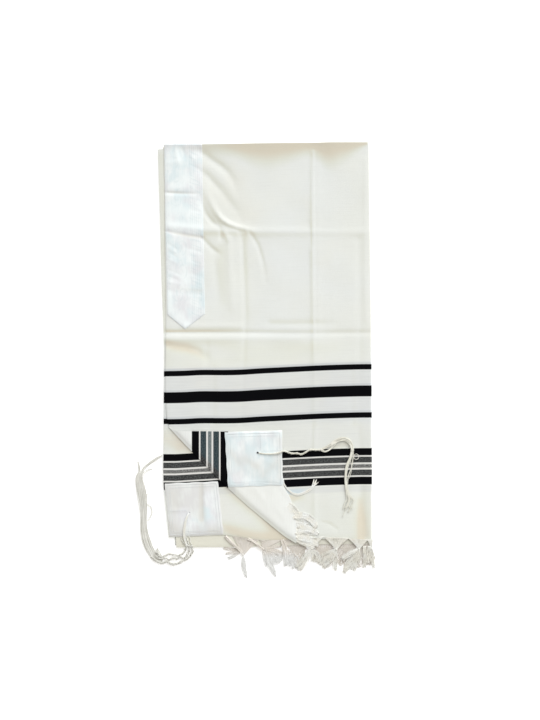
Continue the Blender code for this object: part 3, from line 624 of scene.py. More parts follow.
def satin_weave(name, patterned, lilac):
    """Bluish-white satin, clouded by painted sheen, with fine lengthwise lines. With a pattern it
    has a border of lines and a repeating leaf scroll, drawn by sines of the place and of the
    distance from the middle of each repeat; the pattern fades in and out with the cloudiness."""
    paint = Paint(name, Roughness=0.42, Sheen_Weight=0.15)
    u, v = paint.place()
    wide, high, low, full = (34.0, 26.0, 0.36, 0.66) if patterned else (30.0, 21.0, 0.42, 0.64)
    cloud = paint.noise(paint.at(u * wide, v * high), 1.0, 3.0)
    streak = paint.noise(paint.at(u * 170.0, v * 30.0, 3.0), 1.0, 2.0)
    tint = paint.noise(paint.at(u * 18.0, v * 18.0, 7.0), 1.0, 2.0)
    height = paint.noise(paint.at(u * 1500.0, v * 40.0), 1.0, 1.0) * 0.5
    if patterned:
        border = paint.between(u, 0.054, 0.0775, 0.0008) + paint.between(u, 0.0055, 0.009, 0.0008)
        across, down = (u - 0.031) * (1 / 0.024), (v * (1 / 0.053)).math("FRACT") - 0.5
        out = (across * across + down * down * 3.4).math("SQRT")
        angle = down.math("ARCTAN2", across)
        scroll = (out * 13.0 + angle * 3.0).math("SINE") * (1.0 - paint.rise(out, 0.62, 0.95))
        stem = 1.0 - paint.rise((v.wave(0.106) * 0.34 - across).math("ABSOLUTE"), 0.02, 0.09)
        inside = paint.between(u, 0.010, 0.052, 0.001) * paint.rise(v, 0.040, 0.043)
        marks = (paint.rise(scroll, 0.25, 0.6) + stem * 0.5) * inside * paint.rise(streak, 0.38, 0.62)
        ribs = border * paint.rise(u.wave(0.0042), 0.1, 0.7)
        dash = paint.noise(paint.at(u * 30.0, v * 150.0 + u * 60.0), 1.0, 1.0)
        drawn = ribs * 0.14 + border * paint.rise(dash, 0.48, 0.7) * 0.24 + marks * 0.2, PATTERN_BLUE
        height = height + ribs * -1.2 + marks * 0.7
    else:
        side = PATCH_SIDE * MM
        near = u.math("MINIMUM", side - u).math("MINIMUM", v).math("MINIMUM", side - v)
        # The seam's groove is also painted darker: painted shade along the sewing.
        seam = paint.between(near, 0.0048, 0.0066, 0.0007)
        drawn = seam * 0.3, (0.62, 0.66, 0.69)
        height = height - seam * 3.0
    shade = paint.light()
    # Clouds of painted sheen over the satin, then painted light (under 0) and painted warm grey shade
    # (over 0) from each point's painted shade.
    paint.set("Base Color", paint.layers(
        SATIN_LILAC, (paint.rise(tint, lilac, lilac + 0.2), SATIN_BLUE),
        (paint.rise(cloud * 0.7 + streak * 0.3, low, full), SATIN_PAINTED_SHEEN), drawn,
        (paint.rise(shade * -1.0, 0.0, 1.0) * 0.75, (0.90, 0.955, 0.96)),
        (paint.rise(shade, 0.0, 1.2) * 0.75, (0.66, 0.645, 0.60))))
    paint.set("Roughness", 0.36 + cloud * 0.16)
    paint.bump(height + streak * 1.5, 0.4, 0.0002)
    return paint.material


def spun_thread(name, colour, shade, ply=0.004, fades=False):
    """Two-ply thread: dark grooves that wind round it, painted shade between the plies, from a sine
    of turn + length. With fades its colour, a painted shade, turns a plain white-grey towards the
    ends of the fringe."""
    paint = Paint(name, Roughness=0.85, Sheen_Weight=0.3)
    turn, length = paint.place()
    wind = (turn * (2 * math.pi * 2) + length * (2 * math.pi / ply)).math("SINE")
    fuzz, patch = paint.noise(paint.object_place(), 900.0), paint.noise(paint.object_place(), 60.0)
    base = paint.layers(colour, (paint.rise(patch, 0.35, 0.65), shade),
                        ((1.0 - paint.rise(wind, -1.0, -0.2)) * 0.2, tuple(0.74 * c for c in colour)))
    if fades:
        away = paint.node("SeparateXYZ", inputs={0: paint.object_place()}, out=1)
        base = paint.blend(paint.rise(away, -0.474, -0.456), (0.80, 0.80, 0.785), base)
    paint.set("Base Color", base)
    paint.bump(wind * 0.5 + fuzz, 0.5, 0.0003)
    return paint.material


def plain(name, colour, roughness):
    """One colour with a fine grain in it and in the bump."""
    paint = Paint(name, Roughness=roughness)
    grain = paint.noise(paint.object_place(), 700.0)
    paint.set("Base Color", paint.blend(grain, colour, tuple(0.86 * c for c in colour)))
    paint.bump(grain, 0.3, 0.0002)
    return paint.material


wool = woven_wool()
neck_satin = satin_weave("neck_band_satin", True, 0.42)
patch_satin = satin_weave("corner_patch_satin", False, 0.34)
# The back patch's satin is a more lilac copy: painted shade.
shaded_satin = satin_weave("back_patch_satin_shaded", False, 0.56)
# One wool for all fringe and tassel threads: the second, lower and back-tassel copies are darker, painted
# shade; the copy for the turned fringe and the back tassel's lead is whiter, painted light.
fringe_thread = spun_thread("fringe_thread", (0.84, 0.835, 0.79), (0.79, 0.765, 0.69))
shaded_second_thread = spun_thread("second_fringe_thread_shaded", (0.765, 0.72, 0.665), (0.74, 0.69, 0.625), fades=True)
lower_thread = spun_thread("lower_fringe_thread_shaded", (0.72, 0.675, 0.62), (0.68, 0.635, 0.57))
lit_thread = spun_thread("lit_white_thread", (0.90, 0.91, 0.89), (0.88, 0.86, 0.79))
tassel_thread = spun_thread("corner_tassel_thread", (0.86, 0.85, 0.77), (0.80, 0.78, 0.69), 0.003)
shaded_thread = spun_thread("back_tassel_thread_shaded", (0.755, 0.745, 0.70), (0.69, 0.68, 0.63), 0.003)
sewing = plain("sewing_thread", (0.73, 0.78, 0.80), 0.7)
hole_dark = plain("hole_painted_shade", (0.03, 0.03, 0.035), 0.8)


# ---- the cloth
def outer_sheet():
    """The front layer, its turned corner, the folds at the top and right, and the back layer.

    The front is a grid of columns from the top fold to the fold line or hem. The turned corner
    goes on over a half circle of FLAP_ROLL. Half circles carry the top edge down to the second
    layer and the right edge down to the back layer."""
    grids = Grids()
    fold_columns, hem_columns, level_rows, low_rows = 79, 46, 168, 72
    x_fold = even(fold_columns, FOLD_LINE[0][0], FOLD_LINE[-1][0])
    x_hem = even(hem_columns + 1, x_fold[-1], FRONT_HEM[-1][0] - RIGHT_ROLL)[1:]
    fold_points = join(x_fold, on(FOLD_LINE, x_fold))
    bottoms = np.concatenate([fold_points, join(x_hem, flow(FRONT_HEM, x_hem))])
    way = np.gradient(fold_points, axis=0)
    out = join(way[:, 1], -way[:, 0]) / np.linalg.norm(way, axis=1, keepdims=True)
    middle = fold_points - out * FLAP_ROLL
    ends = np.concatenate([middle, bottoms[fold_columns:]])

    def right_inner(y):
        """Where the front layer ends and the fold at the right begins."""
        return flow(FRONT_RIGHT, y) - RIGHT_ROLL

    left = flow(FRONT_LEFT, bottoms[:, 1])
    share = np.clip((bottoms[:, 0] - left) / (right_inner(bottoms[:, 1]) - left), 0.0, 1.0)
    top = flow(FRONT_TOP, mix(FRONT_TOP[0][0], FRONT_TOP[-1][0], share)) - TOP_ROLL
    y = mix(top, SHARED_Y, even(level_rows + 1)[:, None])
    x = mix(flow(FRONT_LEFT, y), right_inner(y), share)
    down = even(low_rows + 1)[1:, None]
    x = np.concatenate([x, mix(x[-1], ends[:, 0], down)])
    y = np.concatenate([y, mix(y[-1], ends[:, 1], down)])
    points = join(x, y, FRONT_Z + front_relief(x, y))
    # Painted shade from the slopes, from the painted shade lines and under the top fold.
    front = grids.put(points, painted_shade(front_relief, x, y) + painted_warm_shade(x, y))
    places = join(x + FRONT_SIDE, y - FRONT_HEM[-1][1] + flow(SAG, x))
    grids.sew(front, places)

    # The turned corner: a half circle round the fold line, then rows to its free edges.
    turns, flap_rows, top_columns = 6, 44, 39
    edge = np.concatenate([along(CORNER_TOP, even(top_columns + 1), False)[:-1],
                           along(CORNER_HEM, even(fold_columns - top_columns))])
    angle = math.pi * (np.arange(1, turns + 1) / turns - 0.5)[:, None]
    x, y = (np.concatenate([m + o * FLAP_ROLL * np.cos(angle), mix(m, e, even(flap_rows + 1)[1:, None])])
            for m, o, e in zip(middle.T, out.T, edge.T))
    z = FLAP_Z + flap_relief(x, y)
    z[:turns] = mix(FRONT_Z + front_relief(*middle.T), FLAP_Z + flap_relief(*middle.T),
                    (1 + np.sin(angle)) / 2)
    # The turned corner is painted brighter all over, with weaker painted shade from its slopes and
    # painted shade where it rolls down to the fold.
    light = 0.35 * painted_shade(flap_relief, x, y) - 0.5 + roll_shade(x, y)
    flap = np.concatenate([front[-1:, :fold_columns], grids.put(join(x, y, z), light)])
    grids.sew(flap, FLAP_PLACE - np.concatenate([middle[None], join(x, y)])[..., ::-1])

    # The folds at the top and right, as rings from the front's border.
    def border(grid):
        """A grid's first row, and then its last column from there down."""
        return np.concatenate([grid[0], grid[1:, -1]])

    rings, corner = 9, len(front[0]) - 1
    past = np.arange(len(border(front))) - corner

    def by_side(top, turn, right):
        """One value along the top fold, one at the corner and one along the right fold."""
        return np.where(past < 0, top, np.where(past > 0, right, turn))

    start = border(points)
    way_out = join(by_side(0.0, 0.75, 1.0), by_side(1.0, 0.66, 0.0))
    radius = by_side(TOP_ROLL, 0.5 * (RIGHT_ROLL + TOP_ROLL), RIGHT_ROLL)
    low_z = by_side(start[:, 2] - 2 * TOP_ROLL, BACK_Z + 0.6, BACK_Z)
    angle = math.pi * np.arange(1, rings + 1)[:, None] / rings
    ring_xy = start[:, :2] + way_out * (radius * np.sin(angle))[..., None]
    ring = np.concatenate([ring_xy, mix(start[:, 2], low_z, (1 - np.cos(angle)) / 2)[..., None]], -1)
    skirt = np.concatenate([border(front)[None], grids.put(ring)])
    run = np.concatenate([0 * radius[None], angle * radius])
    places = border(places) + way_out * run[..., None]
    grids.sew(skirt, places, flip=True)

    # A short tail under the top fold, and the back layer under the right one.
    tail = grids.put(ring[-1:, :corner] - [0.0, 6.0, 0.1])
    grids.sew(np.concatenate([skirt[-1:, :corner], tail]),
              places[-1, :corner] + [[[0.0, 0.0]], [[0.0, 6.0]]], flip=True)
    (x0, y0, _), (u0, v0) = ring[-1, corner:].T, places[-1, corner:].T
    part = even(37)[1:, None]
    sunk = np.minimum(1.0, part * 4)
    y = mix(y0, mix(BACK_HEM, BACK_TOP, (y0 - y0[-1]) / (y0[0] - y0[-1])), sunk)
    x = mix(x0, flow(BACK_LEFT, y0), part)
    z = BACK_Z + np.maximum(0.0, 0.25 * main_relief(x, y))
    back = np.concatenate([skirt[-1:, corner:], grids.put(join(x, y, z))])
    places = join(u0 + (x0 - x), mix(v0, y + BACK_END, sunk))
    grids.sew(back, np.concatenate([join(u0, v0)[None], places]), flip=True)
    return grids.piece("cloth_outer_sheet", wool, CLOTH)


def inner_sheet():
    """The second and third layers, joined by the inner fold at the right: two level grids and a
    half circle of INNER_ROLL between them."""
    grids = Grids()
    columns, rows, turns, inner_right = 66, 128, 6, 220.5
    a, b = even(columns + 1)[None], even(rows + 1)[:, None]

    def layer(left_rows, hem_rows, height, relief, lift):
        """A grid from lift below the top fold to a hem, and from a left edge to the inner fold,
        at a height plus its relief."""
        rough_x = mix(-225.0, inner_right, a)
        y = mix(flow(FRONT_TOP, rough_x) - lift, on(hem_rows, rough_x), b)
        x = mix(flow(left_rows, y), flow(FRONT_RIGHT, y) - (FRONT_HEM[-1][0] - inner_right), a)
        return x, y, height + relief(x, y)

    x, y, z = above = layer(SECOND_LEFT, SECOND_HEM, SECOND_Z, second_relief, 9.5)
    # Painted shade from the slopes, the painted shadow of the fold, lines near the hem and the second
    # layer's own rows.
    second = grids.put(join(x, y, z), painted_shade(second_relief, x, y) + fold_shade(x, y)
                       + step(-y, 380.0, 400.0) * painted_warm_shade(x, y) + creases(SECOND_PAINTED_SHADE, x, y))
    # The stripes of the second layer lean a little and fall away to the right.
    second_places = join(x + SECOND_SIDE, y + SECOND_END + 0.0133 * (y + 62.0)
                         - 0.06 * np.maximum(0.0, x + 205.0))
    grids.sew(second, second_places)
    x, y, z = below = layer(THIRD_LEFT, THIRD_HEM, THIRD_Z, lambda x, y: 0.6 * main_relief(x, y), 5.0)
    # The whole third layer is painted in shade.
    third = grids.put(join(x, y, z), 1.25)
    third_places = join(x + SECOND_SIDE, y + THIRD_END)
    grids.sew(third, third_places, flip=True)
    angle = (math.pi * np.arange(1, turns) / turns)[:, None]
    x, y, z = (mix(one[:, -1], two[:, -1], (1 - np.cos(angle)) / 2) for one, two in zip(above, below))
    roll = grids.put(join(x + INNER_ROLL * np.sin(angle), y, z))
    grids.sew(np.concatenate([second[:, -1][None], roll, third[:, -1][None]]),
              mix(second_places[:, -1], third_places[:, -1], even(turns + 1)[:, None, None]))
    return grids.piece("cloth_inner_sheet", wool, CLOTH)


outer = outer_sheet()
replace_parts(outer, "cloth_front")
inner = inner_sheet()
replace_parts(inner, "cloth_folded_layers")


# ---- satin pieces and their sewing
def patch_points(corners, a, b):
    """The point at shares (a across, b down) of a four-cornered piece."""
    top_left, top_right, low_right, low_left = np.array(corners)
    across, down = a[..., None], b[..., None]
    return mix(mix(top_left, top_right, across), mix(low_left, low_right, across), down)


def face(middle, relief):
    """The height of a layer's upper face, from its middle height and its relief."""
    return lambda x, y: middle + CLOTH / 2 + relief(x, y)


front_top, flap_top = face(FRONT_Z, front_relief), face(FLAP_Z, flap_relief)
second_top = face(SECOND_Z, second_relief)

# Wrinkles of the neck band's satin, as the creases of the cloth.
NECK_PUCKERS = (
    ((-229, 338, -0.9, 3), (-190, 337, -0.9, 3), (-158, 336, -0.4, 3)),
    ((-229, 350, 0.4, 6), (-170, 349, 0.3, 6)),
    ((-228, 253, -1, 3), (-200, 248, -1.2, 3), (-172, 243, -1.2, 3), (-146, 240, -1, 3)),
    ((-228, 266, 0.8, 7), (-150, 256, 0.8, 7)), ((-225, 226, -0.5, 3), (-205, 213, -0.5, 3)),
    ((-225, 208, -0.6, 3), (-206, 196, -0.4, 3)), ((-225, 192, 0.5, 3), (-206, 183, 0.3, 3)),
    ((-225, 168, -0.6, 3), (-200, 157, -0.4, 3)), ((-224, 152, -0.5, 3), (-204, 146, -0.4, 3)),
    ((-224, 140, 0.5, 3), (-194, 134, 0.3, 3)), ((-176, 214, -0.4, 3), (-148, 206, -0.5, 3)),
    ((-172, 182, 0.4, 5), (-146, 176, 0.4, 5)), ((-168, 158, -0.4, 4), (-144, 150, -0.5, 4)),
    ((-172, 300, -0.3, 3), (-147, 294, -0.4, 3)), ((-224, 118, -0.5, 4), (-150, 112, -0.4, 4)),
    ((-168, 398, -0.3, 4), (-150, 388, -0.5, 4)), ((-230, 402, 0.5, 5), (-186, 410, 0.4, 5)),
    ((-204, 432, 0.6, 4), (-200, 404, 0.4, 4)), ((-192, 436, -0.5, 4), (-184, 410, -0.3, 4)),
    ((-178, 430, 0.5, 4), (-166, 412, 0.4, 4)),
)
# Painted warm grey shade (over 0) and painted bright light (under 0) on the band.
NECK_SHADES = (
    ((-231, 437, -0.45, 4), (-229, 262, -0.4, 4), (-226.5, 118, -0.5, 4)),
    ((-228, 340, 0.7, 3), (-200, 338, 1, 3.5), (-168, 336, 0.5, 3.5), (-148, 334, 0.2, 3)),
    ((-228, 253, 0.6, 2), (-204, 247, 1, 3.5), (-176, 242, 1.25, 4), (-146, 239, 1, 4)),
    ((-205, 436, 0.5, 5), (-150, 437, 0.6, 6)), ((-224, 128, 0.3, 5), (-150, 121, 0.6, 5)),
    ((-224, 214, 0.4, 2.5), (-208, 204, 0.3, 2.5)), ((-165, 190, 0.3, 6), (-150, 180, 0.4, 6)),
    ((-222, 300, -0.6, 16), (-160, 292, -0.6, 16)), ((-222, 268, -0.8, 8), (-156, 264, -0.8, 8)),
    ((-220, 118, -1.2, 5), (-220, 78, -1.2, 6)), ((-204, 430, -1.2, 4), (-196, 404, -0.8, 6)),
    ((-185, 375, -0.6, 10), (-190, 358, -0.6, 8)), ((-200, 60, -0.5, 10), (-180, 46, -0.5, 8)),
    ((-214, 168, -0.5, 5), (-180, 140, -0.7, 7)),
)


def neck_xy(a, b):
    """Places on the neck band: across from its left to its right edge, down from the top fold to
    its pointed end."""
    y = mix(flow(FRONT_TOP, -190.0) - TOP_ROLL, on(NECK_POINT, a), b)
    return mix(on(NECK_LEFT, y), on(NECK_RIGHT, y), a), y


def neck_band():
    """The satin band of the neck: a grid on the front layer that goes over the top fold."""
    grids = Grids()
    a = np.unique(np.append(even(37), NECK_POINT[1][0]))[None]
    b = even(181)[:, None]
    x, y = neck_xy(a, b)
    press = step(np.minimum(a, 1 - a), 0.0, 0.07) * step(1 - b, 0.0, 0.02)
    puckers = np.maximum(creases(NECK_PUCKERS, x, y), -0.4)
    z = front_top(x, y) + SATIN / 2 - 0.1 + press * (0.45 + puckers)
    numbers = grids.put(join(x, y, z), creases(NECK_SHADES, x, y))
    places = join(x - on(NECK_LEFT, y), y - NECK_END)
    grids.sew(numbers, places)
    turn = (np.arange(6) / 5 * 2.0)[:, None]
    size = TOP_ROLL + CLOTH / 2 + SATIN / 2
    over = join(x[0], y[0] + size * np.sin(turn), z[0] - size * (1 - np.cos(turn)))[1:]
    grids.sew(np.concatenate([numbers[:1], grids.put(over)]), places[:1] + join(0.0, turn * size),
              flip=True)
    return grids.piece("neck_band_satin", neck_satin, SATIN)


# Painted warm grey shade (over 0) and painted bright light (under 0) on the two corner patches.
PATCH_SHADES = (
    ((-150, -312, 1.1, 3), (-149, -388, 1, 4)), ((-214, -330, 0.3, 10), (-206, -360, 0.35, 10)),
    ((-222, -400, 0.5, 9), (-200, -418, 0.4, 9)), ((-130, -412, 0.4, 6), (-112, -416, 0.5, 6)),
    ((-132, -340, -0.8, 12), (-126, -386, -0.8, 12)), ((-190, -374, -0.9, 9), (-172, -396, -1, 10)),
    ((-86, -300, -0.4, 8), (-40, -306, -0.4, 8)), ((-60, -205, -0.7, 12), (-10, -200, -0.7, 10)),
    ((-54, -252, 0.35, 8), (-26, -268, 0.45, 9)), ((-10, -286, 0.3, 8), (16, -262, 0.35, 8)),
    ((-84, -238, 0.3, 8), (-66, -262, 0.3, 9)), ((-20, -240, -0.6, 10), (12, -230, -0.7, 10)),
    ((24, -210, 0.35, 5), (26, -296, 0.3, 5)),
)


def patch_lift(puckers, x, y):
    """How far a patch stands off its cloth: never under it."""
    return 0.3 + 1.2 * np.maximum(creases(puckers, x, y), -0.16)


def corner_patch(name, corners, top, puckers, depth, satin):
    """A square satin patch: a grid on the cloth, pressed down at its sewn border, with its painted
    shade: depth all over, and the rows of PATCH_SHADES.
    Its edges swing by 0.5 in sines along their length."""
    grids = Grids()
    a, b = np.meshgrid(even(37), even(37))
    x, y = np.moveaxis(patch_points(corners, a, b), -1, 0)
    x = x + 0.5 * np.sin(b * 23.0) * (step(a, 0.9, 1.0) - step(1 - a, 0.9, 1.0))
    y = y + 0.5 * np.sin(a * 19.0) * (step(b, 0.9, 1.0) - step(1 - b, 0.9, 1.0))
    press = step(np.minimum(np.minimum(a, 1 - a), np.minimum(b, 1 - b)), 0.0, 0.034)
    z = top(x, y) + SATIN / 2 - 0.1 + press * patch_lift(puckers, x, y)
    shades = depth + creases(PATCH_SHADES, x, y)
    grids.sew(grids.put(join(x, y, z), shades), join(a, b) * PATCH_SIDE)
    return grids.piece(name, satin, SATIN)


PATCH_FRONT_PUCKERS = (
    ((-52, -192, 0.7, 5), (-50, -225, 0.3, 7)), ((-38, -192, -0.6, 4), (-37, -228, -0.3, 5)),
    ((-18, -192, 0.6, 5), (-16, -220, 0.3, 6)), ((2, -192, -0.6, 5), (0, -226, -0.3, 6)),
    ((14, -196, 0.5, 5), (12, -216, 0.2, 5)), ((-80, -230, 0.5, 9), (-46, -272, 0.6, 12)),
    ((-46, -262, -0.5, 9), (-16, -300, -0.5, 10)), ((-12, -252, 0.5, 8), (22, -270, 0.4, 8)),
    ((-30, -285, 0.4, 9), (14, -300, 0.4, 8)),
)
PATCH_BACK_PUCKERS = (
    ((-150, -310, -1.3, 3), (-148, -388, -1.2, 3.5)), ((-140, -310, 0.8, 6), (-137, -390, 0.6, 7)),
    ((-190, -318, 0.4, 8), (-186, -352, 0.4, 8)), ((-222, -368, 0.5, 4), (-180, -367, 0.5, 4)),
    ((-200, -384, -0.4, 7), (-165, -392, -0.3, 7)), ((-120, -330, 0.4, 7), (-112, -400, 0.4, 7)),
    ((-160, -396, 0.5, 9), (-150, -412, 0.3, 8)), ((-206, -330, -0.3, 5), (-206, -360, -0.3, 5)),
)

neck = neck_band()
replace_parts(neck, "atarah")
patch_front = corner_patch("corner_patch_front_satin", PATCH_FRONT, flap_top, PATCH_FRONT_PUCKERS,
                           0.34, patch_satin)
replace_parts(patch_front, "corner_patch_front")
patch_back = corner_patch("corner_patch_back_satin", PATCH_BACK, second_top, PATCH_BACK_PUCKERS,
                          0.62, shaded_satin)
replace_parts(patch_back, "corner_patch_back")


def stitches(name, lines, top):
    """Rows of stitches on a surface: each a short arched thread, at even steps of each line."""
    pitch, long, thick, arch = 3.4, 2.1, 0.32, (-0.25, 0.12, 0.12, -0.25)
    paths = []
    for line in lines:
        reach = reach_of(line)
        at = np.arange(pitch / 2, reach[-1] - long, pitch)[:, None] + even(4, 0.0, long)
        x, y = (np.interp(at, reach, column) for column in line.T)
        paths.append(join(x, y, top(x, y) + arch))
    paths = np.concatenate(paths)
    tubes(name, paths, np.full(paths.shape[:2], thick), sewing, 4)


def patch_top(top, puckers):
    """The face of a patch, with room for a thread."""
    return lambda x, y: top(x, y) + SATIN + THREAD_ROOM + patch_lift(puckers, x, y)


def inset(corners, part):
    """The closed line that runs inside a four-cornered piece, at a share of its size."""
    shares = even(30, part, 1 - part)
    low, high = np.full(30, part), np.full(30, 1 - part)
    a = np.concatenate([shares, high, shares[::-1], low])
    return patch_points(corners, a, np.roll(a, 30))


def corner_square(corners, a0, a1, b0, b1):
    """Two sides of the small square sewn round the hole."""
    a = np.append(even(12, a0, a1), np.full(12, a1))
    return patch_points(corners, a, np.append(np.full(12, b0), even(12, b0, b1)))


patch_front_top = patch_top(flap_top, PATCH_FRONT_PUCKERS)
patch_back_top = patch_top(second_top, PATCH_BACK_PUCKERS)
for name, corners, top, square in (
        ("patch_front_sewing", PATCH_FRONT, patch_front_top, (0.96, 0.62, 0.36, 0.04)),
        ("patch_back_sewing", PATCH_BACK, patch_back_top, (0.04, 0.36, 0.52, 0.96))):
    stitches(name, [inset(corners, 0.035), inset(corners, 0.085), corner_square(corners, *square)], top)


def neck_line(inside):
    """A line of sewing round the neck band, this far inside its edge."""
    part, b = inside / NECK_WIDE, even(120, 0.006, 1.0 - inside / NECK_LONG)
    point = join(*neck_xy(NECK_POINT[1][0], 1.0 - inside / NECK_SHORT))[None]
    return np.concatenate([join(*neck_xy(part, b)), point, join(*neck_xy(1 - part, b))[::-1]])


stitches("neck_band_sewing", [neck_line(2.2)], lambda x, y: front_top(x, y) + SATIN + THREAD_ROOM)


def hole_ring(name, centre, top, size):
    """A sewn eyelet: a dark disc sunk in the patch, painted shade for the hole, with a ring of
    thread round it.
    """
    turn = even(25, 0.0, 2 * math.pi)
    radius = np.array([0.0001, 0.8, 1.6, 2.4, 2.6])[:, None] * size
    x, y = centre[0] + radius * np.cos(turn), centre[1] + radius * np.sin(turn)
    points = join(x, y, top(x, y))
    tubes(name + "_edge", points[4:], np.full((1, 25), 0.55 * size), sewing, 6)
    grids = Grids()
    grids.sew(grids.put(points[:4] + [0.0, 0.0, 0.06]), np.zeros((4, 25, 2)), flip=True)
    disc = grids.piece(name, hole_dark, 0.3)


hole_ring("hole_front", HOLE_FRONT, patch_front_top, 1.0)
hole_ring("hole_back", HOLE_BACK, patch_back_top, 0.55)


# ---- fringe
class Threads:
    """Threads gathered for one mesh, all with the same number of points."""

    def __init__(self, points):
        self.points, self.paths, self.radii = points, [], []

    def add(self, paths, radii):
        """Paths and radii with any number of points, brought to the shared number, over the floor."""
        old, new = even(paths.shape[1]), even(self.points)
        k = np.clip(np.searchsorted(old, new) - 1, 0, len(old) - 2)
        t = (new - old[k]) / (old[k + 1] - old[k])
        made = mix(paths[:, k], paths[:, k + 1], t[:, None])
        radii = np.broadcast_to(radii, paths.shape[:2])
        self.radii.append(mix(radii[:, k], radii[:, k + 1], t))
        made[..., 2] = np.maximum(made[..., 2], self.radii[-1] + 0.05)
        self.paths.append(made)

    def piece(self, name, material, sides=5):
        """The finished object with all its threads."""
        return tubes(name, np.concatenate(self.paths), np.concatenate(self.radii), material, sides)


def beside(way):
    """The level direction square to each step of a path."""
    return unit(np.cross(way, [0.03, 0.02, 1.0]))


def lock(store, rows, count, thick, ragged, drift, pile, under=None, side=None):
    """A lock of threads that run together along a line through rows of (x, y, z, half width).

    Each thread keeps a place of its own across the lock, drifts off it in one slow wave, and lies
    on its neighbours: across = half width * (home + drift * wave), up = thick * pile * wave."""
    home = even(count, -1.0) if count > 1 else np.zeros(1)
    home = (home + chance.normal(0.0, 0.6 / count, count))[:, None]
    cut = 1.0 - ragged * chance.uniform(0.0, 1.0, (count, 1))
    t = even(store.points) * cut
    line = along(rows, t)
    often, start = chance.uniform(0.3, 1.1, (count, 1)), chance.uniform(0.0, 2 * math.pi, (count, 1))
    wave = np.sin(2 * math.pi * often * t + start)
    place = np.clip(home + drift * wave * np.minimum(1.0, 4.0 * t), -1.15, 1.15)
    across = beside(np.gradient(line[..., :3], axis=1)) if side is None else np.array([*side, 0.0])
    path = line[..., :3] + (line[..., 3] * place)[..., None] * across
    path[..., 2] += thick * pile * (1.0 + np.sin(2 * math.pi * often * 1.7 * t + 2 * start))
    if under is not None:
        path[..., 2] = np.maximum(path[..., 2], under(path[..., 0], path[..., 1]) + thick)
    radii = np.full(path.shape[:2], thick)
    radii[:, -2:] *= [0.85, 0.45]
    store.add(path, radii)


def knot_windings(store, knot, out, thick=0.8):
    """The knot of a tassel: a thread wound round it, turns times, with a slant."""
    t, size, turns = even(40), 2.2, 2.6
    out = np.array([*out, 0.0]) / np.linalg.norm(out)
    side = np.array([out[1], -out[0], 0.0])
    angle = 2 * math.pi * turns * t
    bulge = size * (0.75 + 0.25 * np.sin(math.pi * t))
    path = (np.array(knot) + np.outer((t - 0.5) * 3.6, out)
            + np.outer(bulge * np.cos(angle), side) + np.outer(bulge * 0.8 * np.sin(angle), [0, 0, 1]))
    store.add(path[None], thick)


def ground(x, y):
    """The floor, at height 0 everywhere."""
    return np.zeros_like(x)


def under_front(x, y):
    """What the fringe of the front hem rests on: the second layer, the third, then the floor."""
    return np.where(y > -441.0, 5.2, np.where(y > -449.0, 2.6, 0.1))


def on_front(x, y):
    """The front layer's face, or the floor past its hem."""
    return np.where(y > -432.0, front_top(x, np.maximum(y, -432.0)), 2.0)


# Each hem: webs as (root x, half width, knot x, knot y, threads), and locks as a count, a thread
# radius, how ragged the ends are, and rows of (x, y, z, half width).
FRONT_WEBS = (
    (96.6, 27, 95.9, -451.5, 57), (151, 27, 150.5, -454, 57), (200, 22, 200.9, -453, 48),
    (226, 6, 228.7, -451.8, 15),
)
FRONT_LOCKS = (
    (28, 0.65, 0.1, ((95.9, -451.5, 6.4, 2.4), (85.5, -468, 5, 6.8), (74, -486, 3.4, 8.2),
     (63.5, -501, 2.2, 6.2))),
    (42, 0.56, 0.12, ((150.5, -454, 6.2, 2.4), (137, -467, 5, 10), (124, -480, 3.6, 13.5),
     (114.5, -492, 2.2, 9))),
    (15, 0.56, 0.1, ((150, -456, 5.6, 1.8), (149, -482, 3, 4.6), (147.5, -504, 1.4, 4))),
    (23, 0.62, 0.1, ((96.5, -454, 5, 2), (104, -468, 4.2, 8), (104, -484, 2.6, 9))),
    (27, 0.62, 0.12, ((200.9, -453, 6.4, 2.2), (190, -468, 5.2, 7.4), (177, -486, 3.2, 7.8),
     (167, -509, 1.6, 3.2))),
    (34, 0.56, 0.1, ((200.5, -455, 5.6, 2.2), (194, -476, 4, 9.6), (182, -501, 2, 10))),
    (23, 0.62, 0.05, ((197, -454, 7.6, 2), (184, -461, 8, 4.6), (162, -476, 6, 4.4))),
    (13, 0.68, 0.08, ((213, -446, 6.6, 2.6), (213.5, -470, 4.4, 4.2), (212, -496, 2.2, 3.4))),
    (6, 1.1, 0.12, ((223, -446, 6.6, 2.2), (222, -468, 4.4, 4), (221, -490, 2.2, 3.6))),
    (13, 0.62, 0.12, ((228.7, -451.8, 6, 1.8), (231, -470, 4, 4.4), (234.5, -497, 1.8, 2.6))),
)
SECOND_WEBS = ((-50, 30, -56.5, -467, 64), (6, 26, -11.5, -453.5, 50), (42, 18, 38, -449, 34))
